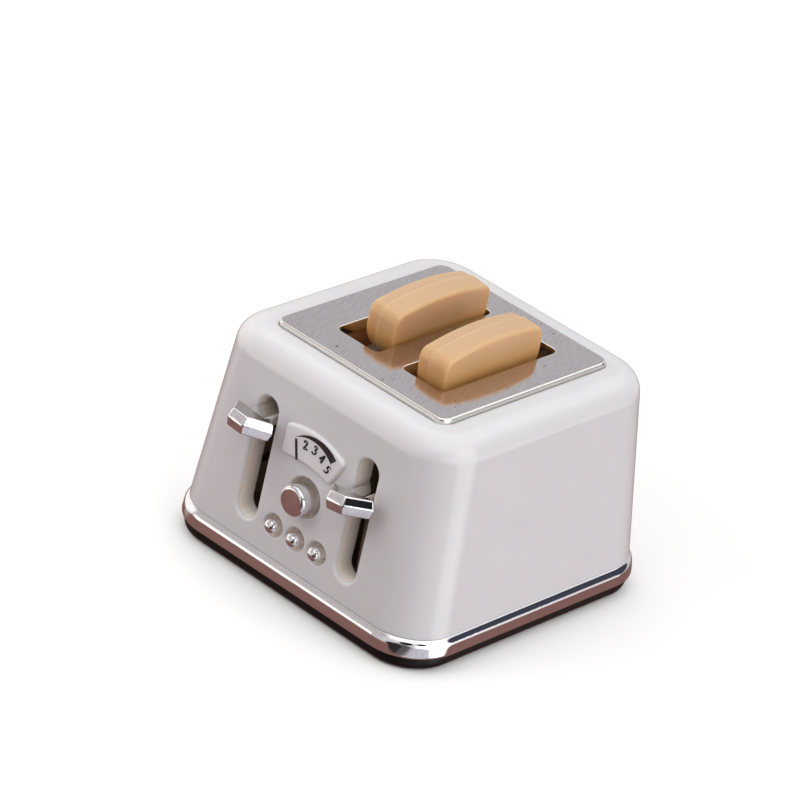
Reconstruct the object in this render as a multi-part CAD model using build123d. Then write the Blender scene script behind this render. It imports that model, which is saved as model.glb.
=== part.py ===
from build123d import *
from math import cos, radians, sin, tan
import os

# Two-slot toy toaster of doll's-house size.  Millimetres, +Z up, front face towards -Y.
# The origin is on the surface that the toaster stands on, below the centre of its top plate.
# The moving pieces are drawn where the toy was left: both levers part way down, slices showing.

# ---- Outer body: four drafted walls, widest at the foot ----
body_width = 28.4
body_front = 14.15
body_back = 14.35
body_corner_radius = 4.4
side_draft = 5.14
front_draft = 4.23
back_draft = 5.08

# ---- Heights of the stacked outer pieces ----
base_height = 1.65
ring_height = 1.26
shell_height = 16.79
top_roundover = 2.1

# ---- Walls ----
front_wall = 2.0
side_wall = 1.5
roof_wall = 1.5
least_corner_radius = 0.3
cut_margin = 1.0
flat_tolerance = 1e-4

# ---- Top plate: plated cover round the bread slots, let into the roof ----
plate_width = 19.0
plate_depth = 19.68
plate_corner_radius = 1.0
plate_thickness = 1.0
plate_proud = 0.4
plate_bevel = 0.18
plate_gap = 0.04
tab_width = 0.9
tab_inset = 1.1
tab_gap = 0.05
tab_tail = 0.3

# ---- Bread slots ----
bread_slot_width = 4.6
bread_slot_length = 13.6
bread_slot_centres = (-3.5, 3.85)
bread_slot_y = 0.3
bread_slot_corner_radius = 0.6

# ---- Push-on clips that hold the plate's tabs ----
clip_width = 1.5
clip_thickness = 0.2
clip_dish = 0.15
clip_crown_width = 1.2

# ---- Bread guide: flange under the roof with a walled well below each slot ----
guide_flange_thickness = 0.8
guide_flange_border = 1.1
well_wall = 0.6
well_gap = 0.1
well_depth = 11.1
collar_gap = 0.12

# ---- Trim ring: chrome bead between shell and base ----
ring_bulge = 0.27
ring_bead_bevel = 0.4

# ---- Base: black foot tray with a locating lip ----
base_inset = 0.12
base_edge_bevel = 0.6
base_floor = 1.2
lip_height = 1.5
lip_thickness = 0.8
lip_gap = 0.06
pad_height = 1.2
pad_width = 3.2

# ---- Case screws ----
screw_inset = 4.2
screw_diameter = 1.0
screw_length = 6.0
screw_head_diameter = 2.0
screw_head_height = 0.6
screw_head_gap = 0.12
screw_recess = 0.9
boss_diameter = 2.5
boss_gap = 0.08
pilot_gap = 0.02

# ---- Lever slots in the front wall ----
lever_spacing = 11.34
lever_slot_width = 2.25
lever_slot_top = 15.63
lever_slot_bottom = 4.78
slot_rim_bevel = 0.2
pocket_rim_bevel = 0.15

# ---- Levers: faceted finger bar, flared stem and snap tang ----
bar_front_width = 1.6
bar_facet_length = 2.33
bar_facet_angle = 53.0
bar_height = 1.57
bar_ridge = 0.19
bar_edge_bevel = 0.12
bar_pitch = -13.2
flare_radius = 1.29
tang_width = 1.8
tang_height = 1.1
tang_edge_bevel = 0.2
tang_seat = 0.02
barb_depth = 0.4
barb_length = 0.6
barb_slit_width = 0.4
barb_slit_length = 2.2
lever_poses = {
    "left": {"y": -14.79, "z": 13.98, "yaw": -3.5, "roll": 2.3},
    "right": {"y": -14.56, "z": 12.34, "yaw": 0.0, "roll": -7.6},
}

# ---- Carriages: platform in the well, cantilever arm, upright with bush and tang window ----
platform_width = 4.2
platform_length = 13.2
platform_thickness = 0.8
platform_drop = {"left": 2.6, "right": 3.0}
end_stop_height = 1.2
end_stop_thickness = 0.5
end_stop_bevel = 0.2
arm_width = 1.5
arm_offset = 0.4
arm_root_height = 2.3
arm_tip_height = 0.5
upright_y = -9.3
upright_thickness = 0.8
upright_edge = 0.6
window_side_gap = 0.2
slit_gap = 0.2

# ---- Guide posts and the carriage bushes that run on them ----
post_diameter = 1.0
post_spacing = 4.8
post_fit = 0.04
bush_wall = 0.55
post_socket_wall = 0.6
post_socket_height = 1.5

# ---- Toast slices ----
slice_thickness = 3.17
slice_length = 11.5
slice_height = 5.7
slice_arch = 0.65
slice_shoulder_radius = 1.1
slice_heel_radius = 3.2
slice_edge_bevel = 0.3
slice_seat = 0.02
slice_poses = {
    "left": {"x": -3.2, "y": 1.2, "yaw": 0.7, "tilt": -0.25, "roll": 1.6},
    "right": {"x": 3.86, "y": 0.19, "yaw": 0.1, "tilt": 1.8, "roll": -0.2},
}

# ---- Browning control: knob in a round pocket, scale boss above it ----
knob_z = 9.4
knob_diameter = 2.64
knob_proud = 1.5
knob_rim_bevel = 0.2
knob_pocket_diameter = 3.4
knob_pocket_depth = 0.9
knob_floor_gap = 0.05
knob_shaft_diameter = 1.2
knob_shaft_gap = 0.04
knob_shaft_end = 0.9
retainer_width = 2.3
retainer_thickness = 0.35
retainer_gap = 0.05
boss_rise = 0.3
boss_sink = 0.3
boss_top_bevel = 0.12
boss_corner_radius = 0.45
boss_lower_left = (-3.25, 2.6)
boss_upper_left = (-3.2, 5.3)
boss_crown = (0.0, 5.8)
boss_upper_right = (3.5, 4.8)
boss_lower_right = (2.4, 2.38)
boss_hollow = (-0.6, 2.83)

# ---- Three push buttons, round-ended pins in round pockets ----
button_z = 5.6
button_pitch = 2.47
button_diameter = 1.14
button_proud = 0.72
button_pocket_diameter = 1.96
button_pocket_depth = 0.9
button_gap = 0.04
button_travel = 0.3
button_flange_width = 1.7
button_flange_thickness = 0.3

# ---- Comb spring behind the buttons, staked to two posts of the shell ----
spring_thickness = 0.15
spring_bar_height = 0.8
spring_bar_rise = 1.75
spring_finger_width = 0.7
spring_finger_drop = 0.3
spring_end = 0.55
spring_clearance = 0.05
stake_width = 0.55
stake_spacing = 2.6
stake_seat_width = 1.0
stake_length = 0.45

# ---- Heights that follow from the stack ----
shell_bottom = base_height + ring_height
shell_top = shell_bottom + shell_height
plate_top = shell_top + plate_proud
plate_bottom = plate_top - plate_thickness
ceiling = shell_top - roof_wall
flange_bottom = ceiling - guide_flange_thickness
pad_top = base_floor + pad_height
sides = {"left": -1, "right": 1}
platform_height = {side: plate_top - platform_drop[side] for side in sides}


def half_width(z):
    """Half the body's width at height z."""
    return body_width / 2 - (z - shell_bottom) * tan(radians(side_draft))


def front_y(z):
    """Place of the front face at height z."""
    return -body_front + (z - shell_bottom) * tan(radians(front_draft))


def back_y(z):
    """Place of the back face at height z."""
    return body_back - (z - shell_bottom) * tan(radians(back_draft))


def prism(corners, x_dir, z_dir, reach):
    """Prism on a polygon drawn in the upright plane through the origin with the given directions."""
    plane = Plane(origin=(0, 0, 0), x_dir=x_dir, z_dir=z_dir)
    return extrude(plane * Polygon(*corners, align=None), amount=reach, both=True)


def drafted_block(low, high, inset=0.0, front_inset=None):
    """Block with the body's four drafted walls between two heights, drawn in by inset."""
    front = inset if front_inset is None else front_inset
    near, far = half_width(low) - inset, half_width(high) - inset
    across = prism([(-near, low), (near, low), (far, high), (-far, high)], (1, 0, 0), (0, -1, 0), body_width)
    profile = [(front_y(low) + front, low), (back_y(low) - inset, low)]
    profile += [(back_y(high) - inset, high), (front_y(high) + front, high)]
    block = across & prism(profile, (0, 1, 0), (1, 0, 0), body_width)
    corners = block.edges().group_by(Axis.Z)[1]
    return fillet(corners, max(body_corner_radius - inset, least_corner_radius))


def front_plane(x, z, depth=0.0):
    """Plane on the front face at (x, z), facing outwards, sunk by depth; its Y runs up the face."""
    draft = radians(front_draft)
    normal = Vector(0, -cos(draft), sin(draft))
    point = Vector(x, front_y(z), z) - normal * depth
    return Plane(origin=point, x_dir=(1, 0, 0), z_dir=normal)


def upright_cylinder(x, y, low, high, diameter):
    """Cylinder along Z between two heights."""
    return Pos(x, y, low) * extrude(Circle(diameter / 2), amount=high - low)


def upright_bar(x, y, low, high, width):
    """Square bar along Z between two heights."""
    return Pos(x, y, low) * extrude(Rectangle(width, width), amount=high - low)


def tab_points():
    """Centres of the plate's four tabs."""
    half_x = plate_width / 2 - tab_inset
    half_y = plate_depth / 2 - tab_inset
    return [(x, y) for x in (-half_x, half_x) for y in (-half_y, half_y)]


def screw_points():
    """Centres of the two case screws, one beside each bread well."""
    half_x = body_width / 2 - screw_inset
    return [(-half_x, 0.0), (half_x, 0.0)]


def lever_x(side):
    """Centre of one lever slot."""
    return sides[side] * lever_spacing / 2


def post_x(side):
    """Centre of one guide post."""
    return sides[side] * post_spacing / 2


def well_x(side):
    """Centre of one bread slot."""
    return bread_slot_centres[0] if side == "left" else bread_slot_centres[1]


def slot_outline():
    """Outline of both bread slots in the top plate."""
    slot = RectangleRounded(bread_slot_width, bread_slot_length, bread_slot_corner_radius)
    return Sketch() + [Pos(x, bread_slot_y) * slot for x in bread_slot_centres]


def well_outline(margin):
    """Square-cornered outline of both bread wells, grown by margin all round."""
    well = Rectangle(bread_slot_width + 2 * margin, bread_slot_length + 2 * margin)
    return Sketch() + [Pos(x, bread_slot_y) * well for x in bread_slot_centres]


def button_centres():
    """X of the three buttons."""
    return [(index - 1) * button_pitch for index in range(3)]


def gauge_outline():
    """Fan-shaped outline of the scale boss, measured from the knob's axis up the front face."""
    outline = make_face(
        Curve()
        + ThreePointArc(boss_upper_left, boss_crown, boss_upper_right)
        + Line(boss_upper_right, boss_lower_right)
        + ThreePointArc(boss_lower_right, boss_hollow, boss_lower_left)
        + Line(boss_lower_left, boss_upper_left)
    )
    return fillet(outline.vertices(), boss_corner_radius)


def front_rim(body, x, z, half_wide, half_high):
    """Edges of the opening in the front face whose centre is at (x, z)."""
    plane = front_plane(x, z)
    rim = []
    for edge in body.edges():
        local = plane.to_local_coords(edge.center())
        if abs(local.Z) < flat_tolerance and abs(local.X) < half_wide and abs(local.Y) < half_high:
            rim.append(edge)
    return rim


def front_axis():
    """Axis of the knob, pointing out of the front face."""
    plane = front_plane(0, knob_z)
    return Axis(plane.origin, plane.z_dir)


def shell():
    """White moulded housing: drafted walls, soft roof edge, slots, pockets, bosses and scale boss."""
    body = drafted_block(shell_bottom, shell_top)
    body = fillet(body.edges().group_by(Axis.Z)[-1], top_roundover)
    body -= drafted_block(shell_bottom - cut_margin, ceiling, side_wall, front_wall)

    recess = RectangleRounded(
        plate_width + 2 * plate_gap, plate_depth + 2 * plate_gap, plate_corner_radius + plate_gap
    )
    body -= Pos(0, 0, plate_bottom) * extrude(recess, amount=plate_thickness + cut_margin)
    body -= Pos(0, 0, ceiling - cut_margin) * extrude(
        well_outline(well_gap + well_wall + collar_gap), amount=roof_wall + 2 * cut_margin
    )
    for x, y in tab_points():
        body -= upright_bar(x, y, ceiling - cut_margin, plate_top, tab_width + 2 * tab_gap)

    slot_height = lever_slot_top - lever_slot_bottom
    slot_middle = (lever_slot_top + lever_slot_bottom) / 2
    for side in sides:
        slot = SlotOverall(slot_height / cos(radians(front_draft)), lever_slot_width, rotation=90)
        plane = front_plane(lever_x(side), slot_middle)
        body -= extrude(plane * slot, amount=front_wall + cut_margin, both=True)
        rim = front_rim(body, lever_x(side), slot_middle, lever_slot_width, slot_height)
        body = chamfer(rim, slot_rim_bevel)

    pockets = [(0.0, knob_z, knob_pocket_diameter, knob_pocket_depth)]
    pockets += [(x, button_z, button_pocket_diameter, button_pocket_depth) for x in button_centres()]
    for x, z, diameter, depth in pockets:
        body -= extrude(front_plane(x, z, depth) * Circle(diameter / 2), amount=depth + cut_margin)
        body = chamfer(front_rim(body, x, z, diameter / 2 + flat_tolerance, diameter), pocket_rim_bevel)

    bores = [(0.0, knob_z, knob_shaft_diameter + 2 * knob_shaft_gap)]
    bores += [(x, button_z, button_diameter + 2 * button_gap) for x in button_centres()]
    for x, z, diameter in bores:
        plane = front_plane(x, z, front_wall + cut_margin)
        body -= extrude(plane * Circle(diameter / 2), amount=front_wall + cut_margin)

    fan = extrude(front_plane(0, knob_z, boss_sink) * gauge_outline(), amount=boss_sink + boss_rise)
    fan = chamfer(fan.faces().sort_by(front_axis())[-1].edges(), boss_top_bevel)
    body += fan

    for x, y in screw_points():
        column = upright_cylinder(x, y, pad_top, ceiling, boss_diameter)
        body += column
        pilot = screw_diameter + 2 * pilot_gap
        body -= upright_cylinder(x, y, pad_top - cut_margin, screw_tip() + pilot_gap, pilot)

    for x in (-stake_spacing / 2, stake_spacing / 2):
        body += spring_stake(x)
    return body


def spring_depth():
    """Distance from the front face to the near side of the comb spring."""
    return front_wall + button_flange_thickness + button_travel + spring_clearance


def spring_stake(x):
    """Shouldered square post on the inner wall that carries the comb spring."""
    z = button_z + spring_bar_rise
    seat_height = spring_depth() - front_wall
    seat_outline = Rectangle(stake_seat_width, stake_seat_width)
    seat = extrude(front_plane(x, z, spring_depth()) * seat_outline, amount=seat_height + front_wall / 2)
    reach = spring_depth() + spring_thickness + stake_length
    stake_outline = Rectangle(stake_width, stake_width)
    return seat + extrude(front_plane(x, z, reach) * stake_outline, amount=stake_length + spring_thickness)


def button_spring():
    """Comb of three leaves; each leaf is drawn where the pressed button takes it."""
    z = button_z + spring_bar_rise
    bar_length = stake_spacing + 2 * spring_end
    length = max(bar_length, 2 * button_pitch + spring_finger_width)
    outline = Sketch() + Rectangle(length, spring_bar_height)
    drop = spring_bar_rise + spring_finger_drop
    for x in button_centres():
        outline += Pos(x, -drop / 2) * Rectangle(spring_finger_width, drop)
    for x in (-stake_spacing / 2, stake_spacing / 2):
        outline -= Pos(x, 0) * Rectangle(stake_width, stake_width)
    return extrude(front_plane(0, z, spring_depth()) * outline, amount=-spring_thickness)


def top_plate():
    """Plated cover with two bread slots, bevelled edges and four tabs below."""
    outline = RectangleRounded(plate_width, plate_depth, plate_corner_radius)
    outline -= slot_outline()
    plate = Pos(0, 0, plate_bottom) * extrude(outline, amount=plate_thickness)
    plate = chamfer(plate.edges().group_by(Axis.Z)[-1], plate_bevel)
    tab_tip = flange_bottom - clip_thickness - clip_dish - tab_tail
    for x, y in tab_points():
        plate += upright_bar(x, y, tab_tip, plate_bottom, tab_width)
    return plate


def plate_clips():
    """Four dished square clips pressed on to the plate's tabs below the guide flange."""
    clips = []
    for x, y in tab_points():
        top = flange_bottom
        clip = upright_bar(x, y, top - clip_thickness, top, clip_width)
        clip += upright_bar(x, y, top - clip_thickness - clip_dish, top, clip_crown_width)
        clip -= upright_bar(x, y, top - cut_margin, top + cut_margin, tab_width)
        clips.append(clip)
    return Compound(children=clips)


def bread_guide():
    """Dark frame under the roof: flange, collars through the roof and a slit well below each slot."""
    flange_front = upright_y - post_diameter / 2 - guide_flange_border
    flange_back = plate_depth / 2
    flange = Pos(0, (flange_front + flange_back) / 2) * RectangleRounded(
        plate_width, flange_back - flange_front, plate_corner_radius
    )
    guide = Pos(0, 0, flange_bottom) * extrude(flange, amount=guide_flange_thickness)
    well_bottom = plate_bottom - well_depth
    guide += Pos(0, 0, well_bottom) * extrude(well_outline(well_gap + well_wall), amount=well_depth)
    guide -= Pos(0, 0, well_bottom - cut_margin) * extrude(
        well_outline(well_gap), amount=well_depth + 2 * cut_margin
    )
    front_inside = bread_slot_y - bread_slot_length / 2
    for side in sides:
        slit = Box(
            arm_width + 2 * slit_gap,
            2 * (well_wall + well_gap + cut_margin),
            flange_bottom - well_bottom + cut_margin,
            align=(Align.CENTER, Align.CENTER, Align.MAX),
        )
        guide -= Pos(arm_x(side), front_inside, flange_bottom) * slit
        guide -= upright_cylinder(
            post_x(side), upright_y, flange_bottom - cut_margin, ceiling + cut_margin, post_diameter
        )
    for x, y in tab_points():
        guide -= upright_bar(x, y, flange_bottom - cut_margin, ceiling + cut_margin, tab_width + 2 * tab_gap)
    for x, y in screw_points():
        guide -= upright_cylinder(
            x, y, flange_bottom - cut_margin, ceiling + cut_margin, boss_diameter + 2 * boss_gap
        )
    return guide


def trim_ring():
    """Chrome bead with bevelled edges, clamped between the shell's rim and the base."""
    ring = drafted_block(base_height, shell_bottom, -ring_bulge)
    outer = ring.edges().group_by(Axis.Z)
    ring = chamfer(outer[0] + outer[-1], ring_bead_bevel)
    return ring - drafted_block(base_height - cut_margin, shell_bottom + cut_margin, side_wall, front_wall)


def base():
    """Black foot tray: bevelled lower edge, locating lip, screw pads and post sockets."""
    tray = drafted_block(0, base_height, base_inset)
    tray = chamfer(tray.edges().group_by(Axis.Z)[0], base_edge_bevel)
    lip_top = shell_bottom + lip_height
    lip_inset = side_wall + lip_gap
    lip_front = front_wall + lip_gap
    tray += drafted_block(base_floor, lip_top, lip_inset, lip_front)
    well_inset = lip_inset + lip_thickness
    tray -= drafted_block(base_floor, lip_top + cut_margin, well_inset, lip_front + lip_thickness)
    for x, y in screw_points():
        tray += upright_bar(x, y, base_floor / 2, pad_top, pad_width)
    for side in sides:
        socket = post_diameter + 2 * post_socket_wall
        tray += upright_bar(post_x(side), upright_y, base_floor / 2, base_floor + post_socket_height, socket)
    for x, y in screw_points():
        tray -= upright_cylinder(x, y, -cut_margin, screw_recess, screw_head_diameter + 2 * screw_head_gap)
        tray -= upright_cylinder(x, y, 0, pad_top + cut_margin, screw_diameter + 2 * screw_head_gap)
    for side in sides:
        tray -= upright_cylinder(
            post_x(side), upright_y, base_floor, base_floor + post_socket_height + cut_margin, post_diameter
        )
    return tray


def screw_tip():
    """Height of the case screws' tips."""
    return screw_recess + screw_length


def base_screws():
    """Two flat-headed case screws, driven from below."""
    screws = []
    for x, y in screw_points():
        screw = upright_cylinder(x, y, screw_recess, screw_tip(), screw_diameter)
        head_bottom = screw_recess - screw_head_height
        screw += upright_cylinder(x, y, head_bottom, screw_recess, screw_head_diameter)
        screws.append(screw)
    return Compound(children=screws)


def guide_post(side):
    """Steel rod from its socket in the base to the underside of the roof."""
    return upright_cylinder(post_x(side), upright_y, base_floor, ceiling, post_diameter)


def bar_outline(outset):
    """Plan of the finger bar, its three front facets moved outwards by outset."""
    angle = radians(bar_facet_angle)
    depth = bar_facet_length * sin(angle)
    half_front = bar_front_width / 2 + outset * tan(angle / 2)
    half_back = bar_front_width / 2 + bar_facet_length * cos(angle) + outset / sin(angle)
    front = -depth - outset
    return Polygon((half_back, 0), (-half_back, 0), (-half_front, front), (half_front, front), align=None)


def finger_bar():
    """Faceted bar: upper and lower rows of three facets meet at a ridge, with bevelled edges."""
    half = bar_height / 2
    levels = [(-half, -bar_edge_bevel), (bar_edge_bevel - half, 0), (0, bar_ridge)]
    levels += [(half - bar_edge_bevel, 0), (half, -bar_edge_bevel)]
    bar = Part()
    for (low, low_outset), (high, high_outset) in zip(levels, levels[1:]):
        sections = [Pos(0, 0, low) * bar_outline(low_outset), Pos(0, 0, high) * bar_outline(high_outset)]
        bar += loft(sections, ruled=True)
    return bar


def lever_frame(side):
    """Place and turn of a lever, at the middle of its bar's back edge."""
    pose = lever_poses[side]
    return Pos(lever_x(side), pose["y"], pose["z"]) * Rot(0, pose["roll"], 0)


def lever(side):
    """Chrome lever: finger bar, flared neck, tang through the slot and a barbed snap end."""
    pose = lever_poses[side]
    turned = Rot(bar_pitch, 0, 0) * Rot(0, 0, pose["yaw"])
    height = bar_height - 2 * bar_edge_bevel
    wide = tang_width / 2 + flare_radius
    neck = make_face(
        Curve()
        + Line((-wide, 0), (wide, 0))
        + RadiusArc((wide, 0), (tang_width / 2, flare_radius), flare_radius)
        + Line((tang_width / 2, flare_radius), (-tang_width / 2, flare_radius))
        + RadiusArc((-tang_width / 2, flare_radius), (-wide, 0), flare_radius)
    )
    front = turned * (finger_bar() + Pos(0, 0, -height / 2) * extrude(neck, amount=height))

    reach = upright_y + upright_thickness / 2 + tang_seat + barb_length - pose["y"]
    tang = Box(tang_width, reach, tang_height, align=(Align.CENTER, Align.MIN, Align.CENTER))
    tang = chamfer(tang.edges().filter_by(Axis.Y), tang_edge_bevel)
    back = reach - barb_length
    barb = Polygon(
        (-tang_width / 2 - barb_depth, back),
        (tang_width / 2 + barb_depth, back),
        (tang_width / 2 - barb_depth, reach),
        (barb_depth - tang_width / 2, reach),
        align=None,
    )
    barb_height = tang_height - 2 * tang_edge_bevel
    tang += Pos(0, 0, -barb_height / 2) * extrude(barb, amount=barb_height)
    slit = Box(barb_slit_width, 2 * barb_slit_length, 2 * tang_height)
    return lever_frame(side) * (front + (tang - Pos(0, reach, 0) * slit))


def tang_rise(side):
    """Half height of a lever's tang in its rolled pose."""
    roll = radians(abs(lever_poses[side]["roll"]))
    return tang_height / 2 * cos(roll) + tang_width / 2 * sin(roll)


def window_drops():
    """Upper and lower edge of the tang window, below the platform's top.

    The window is taller than the tang, so each lever has some free play in its carriage:
    the left lever has lifted its carriage by the upper edge, the right one rests on the lower edge.
    """
    drops = {side: platform_height[side] - lever_poses[side]["z"] for side in sides}
    upper = min(drops[side] - tang_rise(side) for side in sides) - tang_seat
    lower = max(drops[side] + tang_rise(side) for side in sides) + tang_seat
    return upper, lower


def arm_x(side):
    """Centre of a carriage's arm, a little inboard of its well's centre."""
    return well_x(side) - sides[side] * arm_offset


def carriage(side):
    """Bread carriage: platform with end stops, tapered arm, upright, bush and window for the tang."""
    top = platform_height[side]
    under = top - platform_thickness
    hung = (Align.CENTER, Align.CENTER, Align.MAX)
    standing = (Align.CENTER, Align.CENTER, Align.MIN)
    slab = Box(platform_width, platform_length, platform_thickness, align=hung)
    slab = fillet(slab.edges().filter_by(Axis.Z), bread_slot_corner_radius)
    part = Pos(well_x(side), bread_slot_y, top) * slab
    for end in (-1, 1):
        stop = Box(
            platform_width - 2 * bread_slot_corner_radius,
            end_stop_thickness,
            end_stop_height,
            align=standing,
        )
        stop = chamfer(stop.edges().group_by(Axis.Z)[-1].filter_by(Axis.X), end_stop_bevel)
        y = bread_slot_y + end * (platform_length - end_stop_thickness) / 2
        part += Pos(well_x(side), y, top) * stop

    root = upright_y
    tip = bread_slot_y + platform_length / 2 - end_stop_thickness
    arm = Polygon(
        (root, under),
        (tip, under),
        (tip, under - arm_tip_height),
        (root, under - arm_root_height),
        align=None,
    )
    arm_plane = Plane(origin=(arm_x(side), 0, 0), x_dir=(0, 1, 0), z_dir=(1, 0, 0))
    part += extrude(arm_plane * arm, amount=arm_width / 2, both=True)

    bush_diameter = post_diameter + 2 * (post_fit + bush_wall)
    window_upper, window_lower = window_drops()
    foot = top - window_lower - upright_edge
    inner = abs(post_x(side))
    outer = abs(lever_x(side)) + tang_width / 2 + window_side_gap + upright_edge
    plate = Box(outer - inner, upright_thickness, under - foot, align=standing)
    part += Pos(sides[side] * (outer + inner) / 2, upright_y, foot) * plate
    window = Box(
        tang_width + 2 * window_side_gap,
        2 * upright_thickness,
        window_lower - window_upper,
        align=standing,
    )
    part -= Pos(lever_x(side), upright_y, top - window_lower) * window
    part += upright_cylinder(post_x(side), upright_y, foot, under, bush_diameter)
    part -= upright_cylinder(
        post_x(side), upright_y, foot - cut_margin, under + cut_margin, post_diameter + 2 * post_fit
    )
    return part


def toast(side):
    """Slice of toast: arched top, round shoulders, rounded heels and bevelled edges."""
    pose = slice_poses[side]
    half = slice_length / 2
    shoulder = slice_height - slice_arch
    outline = make_face(
        Curve()
        + Line((-half, 0), (half, 0))
        + Line((half, 0), (half, shoulder))
        + ThreePointArc((half, shoulder), (0, slice_height), (-half, shoulder))
        + Line((-half, shoulder), (-half, 0))
    )
    outline = fillet(outline.vertices().group_by(Axis.Y)[-1], slice_shoulder_radius)
    outline = fillet(outline.vertices().group_by(Axis.Y)[0], slice_heel_radius)
    plane = Plane(origin=(0, 0, 0), x_dir=(0, 1, 0), z_dir=(1, 0, 0))
    part = extrude(plane * outline, amount=slice_thickness / 2, both=True)
    part = chamfer(part.edges(), slice_edge_bevel)
    turn = Rot(0, pose["roll"], 0) * Rot(pose["tilt"], 0, 0) * Rot(0, 0, pose["yaw"])
    part = turn * part
    lift = platform_height[side] + slice_seat - part.bounding_box().min.Z
    return Pos(pose["x"], pose["y"], lift) * part


def browning_knob():
    """Chrome knob with a bevelled rim, and its shaft through the pocket's floor."""
    seat_depth = knob_pocket_depth - knob_floor_gap
    body_base = front_plane(0, knob_z, seat_depth)
    knob = extrude(body_base * Circle(knob_diameter / 2), amount=seat_depth + knob_proud)
    rim = knob.edges().filter_by(GeomType.CIRCLE).sort_by(Axis.Y)[0]
    knob = chamfer(rim, knob_rim_bevel)
    shaft_end = front_wall + knob_shaft_end
    shaft = extrude(
        front_plane(0, knob_z, shaft_end) * Circle(knob_shaft_diameter / 2), amount=shaft_end - seat_depth
    )
    return knob + shaft


def knob_retainer():
    """Square push-on clip that keeps the knob's shaft in the wall."""
    depth = front_wall + retainer_gap + retainer_thickness
    outline = Rectangle(retainer_width, retainer_width) - Circle(knob_shaft_diameter / 2)
    return extrude(front_plane(0, knob_z, depth) * outline, amount=retainer_thickness)


def button(x):
    """Round-ended chrome pin with a square flange behind the wall."""
    radius = button_diameter / 2
    flange_back = front_wall + button_flange_thickness
    straight = flange_back + button_proud - radius
    pin = extrude(front_plane(x, button_z, flange_back) * Circle(radius), amount=straight)
    pin += front_plane(x, button_z, radius - button_proud).location * Sphere(radius)
    flange_base = front_plane(x, button_z, flange_back)
    flange = Rectangle(button_flange_width, button_flange_width)
    return pin + extrude(flange_base * flange, amount=button_flange_thickness)


def build():
    """Every piece of the toaster under its node's name."""
    parts = {
        "shell": shell(),
        "top_plate": top_plate(),
        "plate_clips": plate_clips(),
        "bread_guide": bread_guide(),
        "trim_ring": trim_ring(),
        "base": base(),
        "base_screws": base_screws(),
        "browning_knob": browning_knob(),
        "knob_retainer": knob_retainer(),
        "button_spring": button_spring(),
    }
    for name, x in zip(("left", "centre", "right"), button_centres()):
        parts[f"{name}_button"] = button(x)
    for side in sides:
        parts[f"{side}_guide_post"] = guide_post(side)
        parts[f"{side}_lever"] = lever(side)
        parts[f"{side}_carriage"] = carriage(side)
        parts[f"{side}_toast"] = toast(side)
    return parts


os.makedirs("parts", exist_ok=True)
for node, shape in build().items():
    export_step(shape, f"parts/{node}.step")
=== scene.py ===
"""Looks of a two-slot toy toaster: housing, plating, levers, slices and scale, and a small studio round them.

Sizes are millimetres until a mesh is finished.  +Z is up and the front face with the levers looks along -Y.
"""

import logging
from dataclasses import dataclass
from enum import Enum
from functools import lru_cache
from math import acos, asin, atan2, cos, pi, radians, sin, tan
from typing import Callable, Dict, List, Optional, Sequence, Tuple

import bmesh
import bpy
from mathutils import Matrix, Vector


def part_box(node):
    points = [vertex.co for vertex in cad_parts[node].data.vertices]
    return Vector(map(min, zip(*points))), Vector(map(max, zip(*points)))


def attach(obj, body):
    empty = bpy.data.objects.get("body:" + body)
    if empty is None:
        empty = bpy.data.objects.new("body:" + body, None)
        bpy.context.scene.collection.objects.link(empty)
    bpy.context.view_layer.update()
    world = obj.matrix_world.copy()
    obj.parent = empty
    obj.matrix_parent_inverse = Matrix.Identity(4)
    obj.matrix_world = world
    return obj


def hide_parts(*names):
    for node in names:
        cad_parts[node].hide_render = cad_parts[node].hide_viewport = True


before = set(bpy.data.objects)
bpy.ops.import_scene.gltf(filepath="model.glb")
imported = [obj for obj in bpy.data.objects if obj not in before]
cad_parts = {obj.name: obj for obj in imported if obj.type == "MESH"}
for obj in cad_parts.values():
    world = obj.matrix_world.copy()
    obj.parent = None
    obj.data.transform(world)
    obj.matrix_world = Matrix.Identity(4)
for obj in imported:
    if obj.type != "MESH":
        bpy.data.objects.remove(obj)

MM = 0.001  # a millimetre in metres
CLOSE = 0.004  # places nearer than this count as one
NEAR = 1.0  # how far a cutting tool runs on past what it cuts
HERE = Matrix.Identity(4)
LOG = logging.getLogger("toaster")
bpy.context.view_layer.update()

Point = Tuple[float, float]
Color = Tuple[float, float, float]
Choice = Callable[[bmesh.types.BMEdge], bool]
Node = bpy.types.Node
Socket = bpy.types.NodeSocket


class Side(Enum):
    """The two bread slots with their levers."""

    LEFT = -1
    RIGHT = 1

    @property
    def word(self) -> str:
        """Lower-case name used in node and body names."""
        return self.name.lower()


class Join(Enum):
    """Ways to combine two solids."""

    CUT = "DIFFERENCE"
    FUSE = "UNION"


# ---------------------------------------------------------------- outlines


def node_box(node: str) -> Tuple[Vector, Vector]:
    """Lowest and highest corner of a frame node, in millimetres."""
    low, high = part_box(node)
    return low / MM, high / MM


def shift(x: float = 0.0, y: float = 0.0, z: float = 0.0) -> Matrix:
    """Matrix of a move."""
    return Matrix.Translation((x, y, z))


def turn(degrees: float, axis: str) -> Matrix:
    """Matrix of a turn about an axis."""
    return Matrix.Rotation(radians(degrees), 4, axis)


def quarter(steps: int, start: float = 0.0) -> List[float]:
    """Angles of a quarter turn in equal steps, both ends included."""
    return [start + pi / 2 * step / steps for step in range(steps + 1)]


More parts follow.
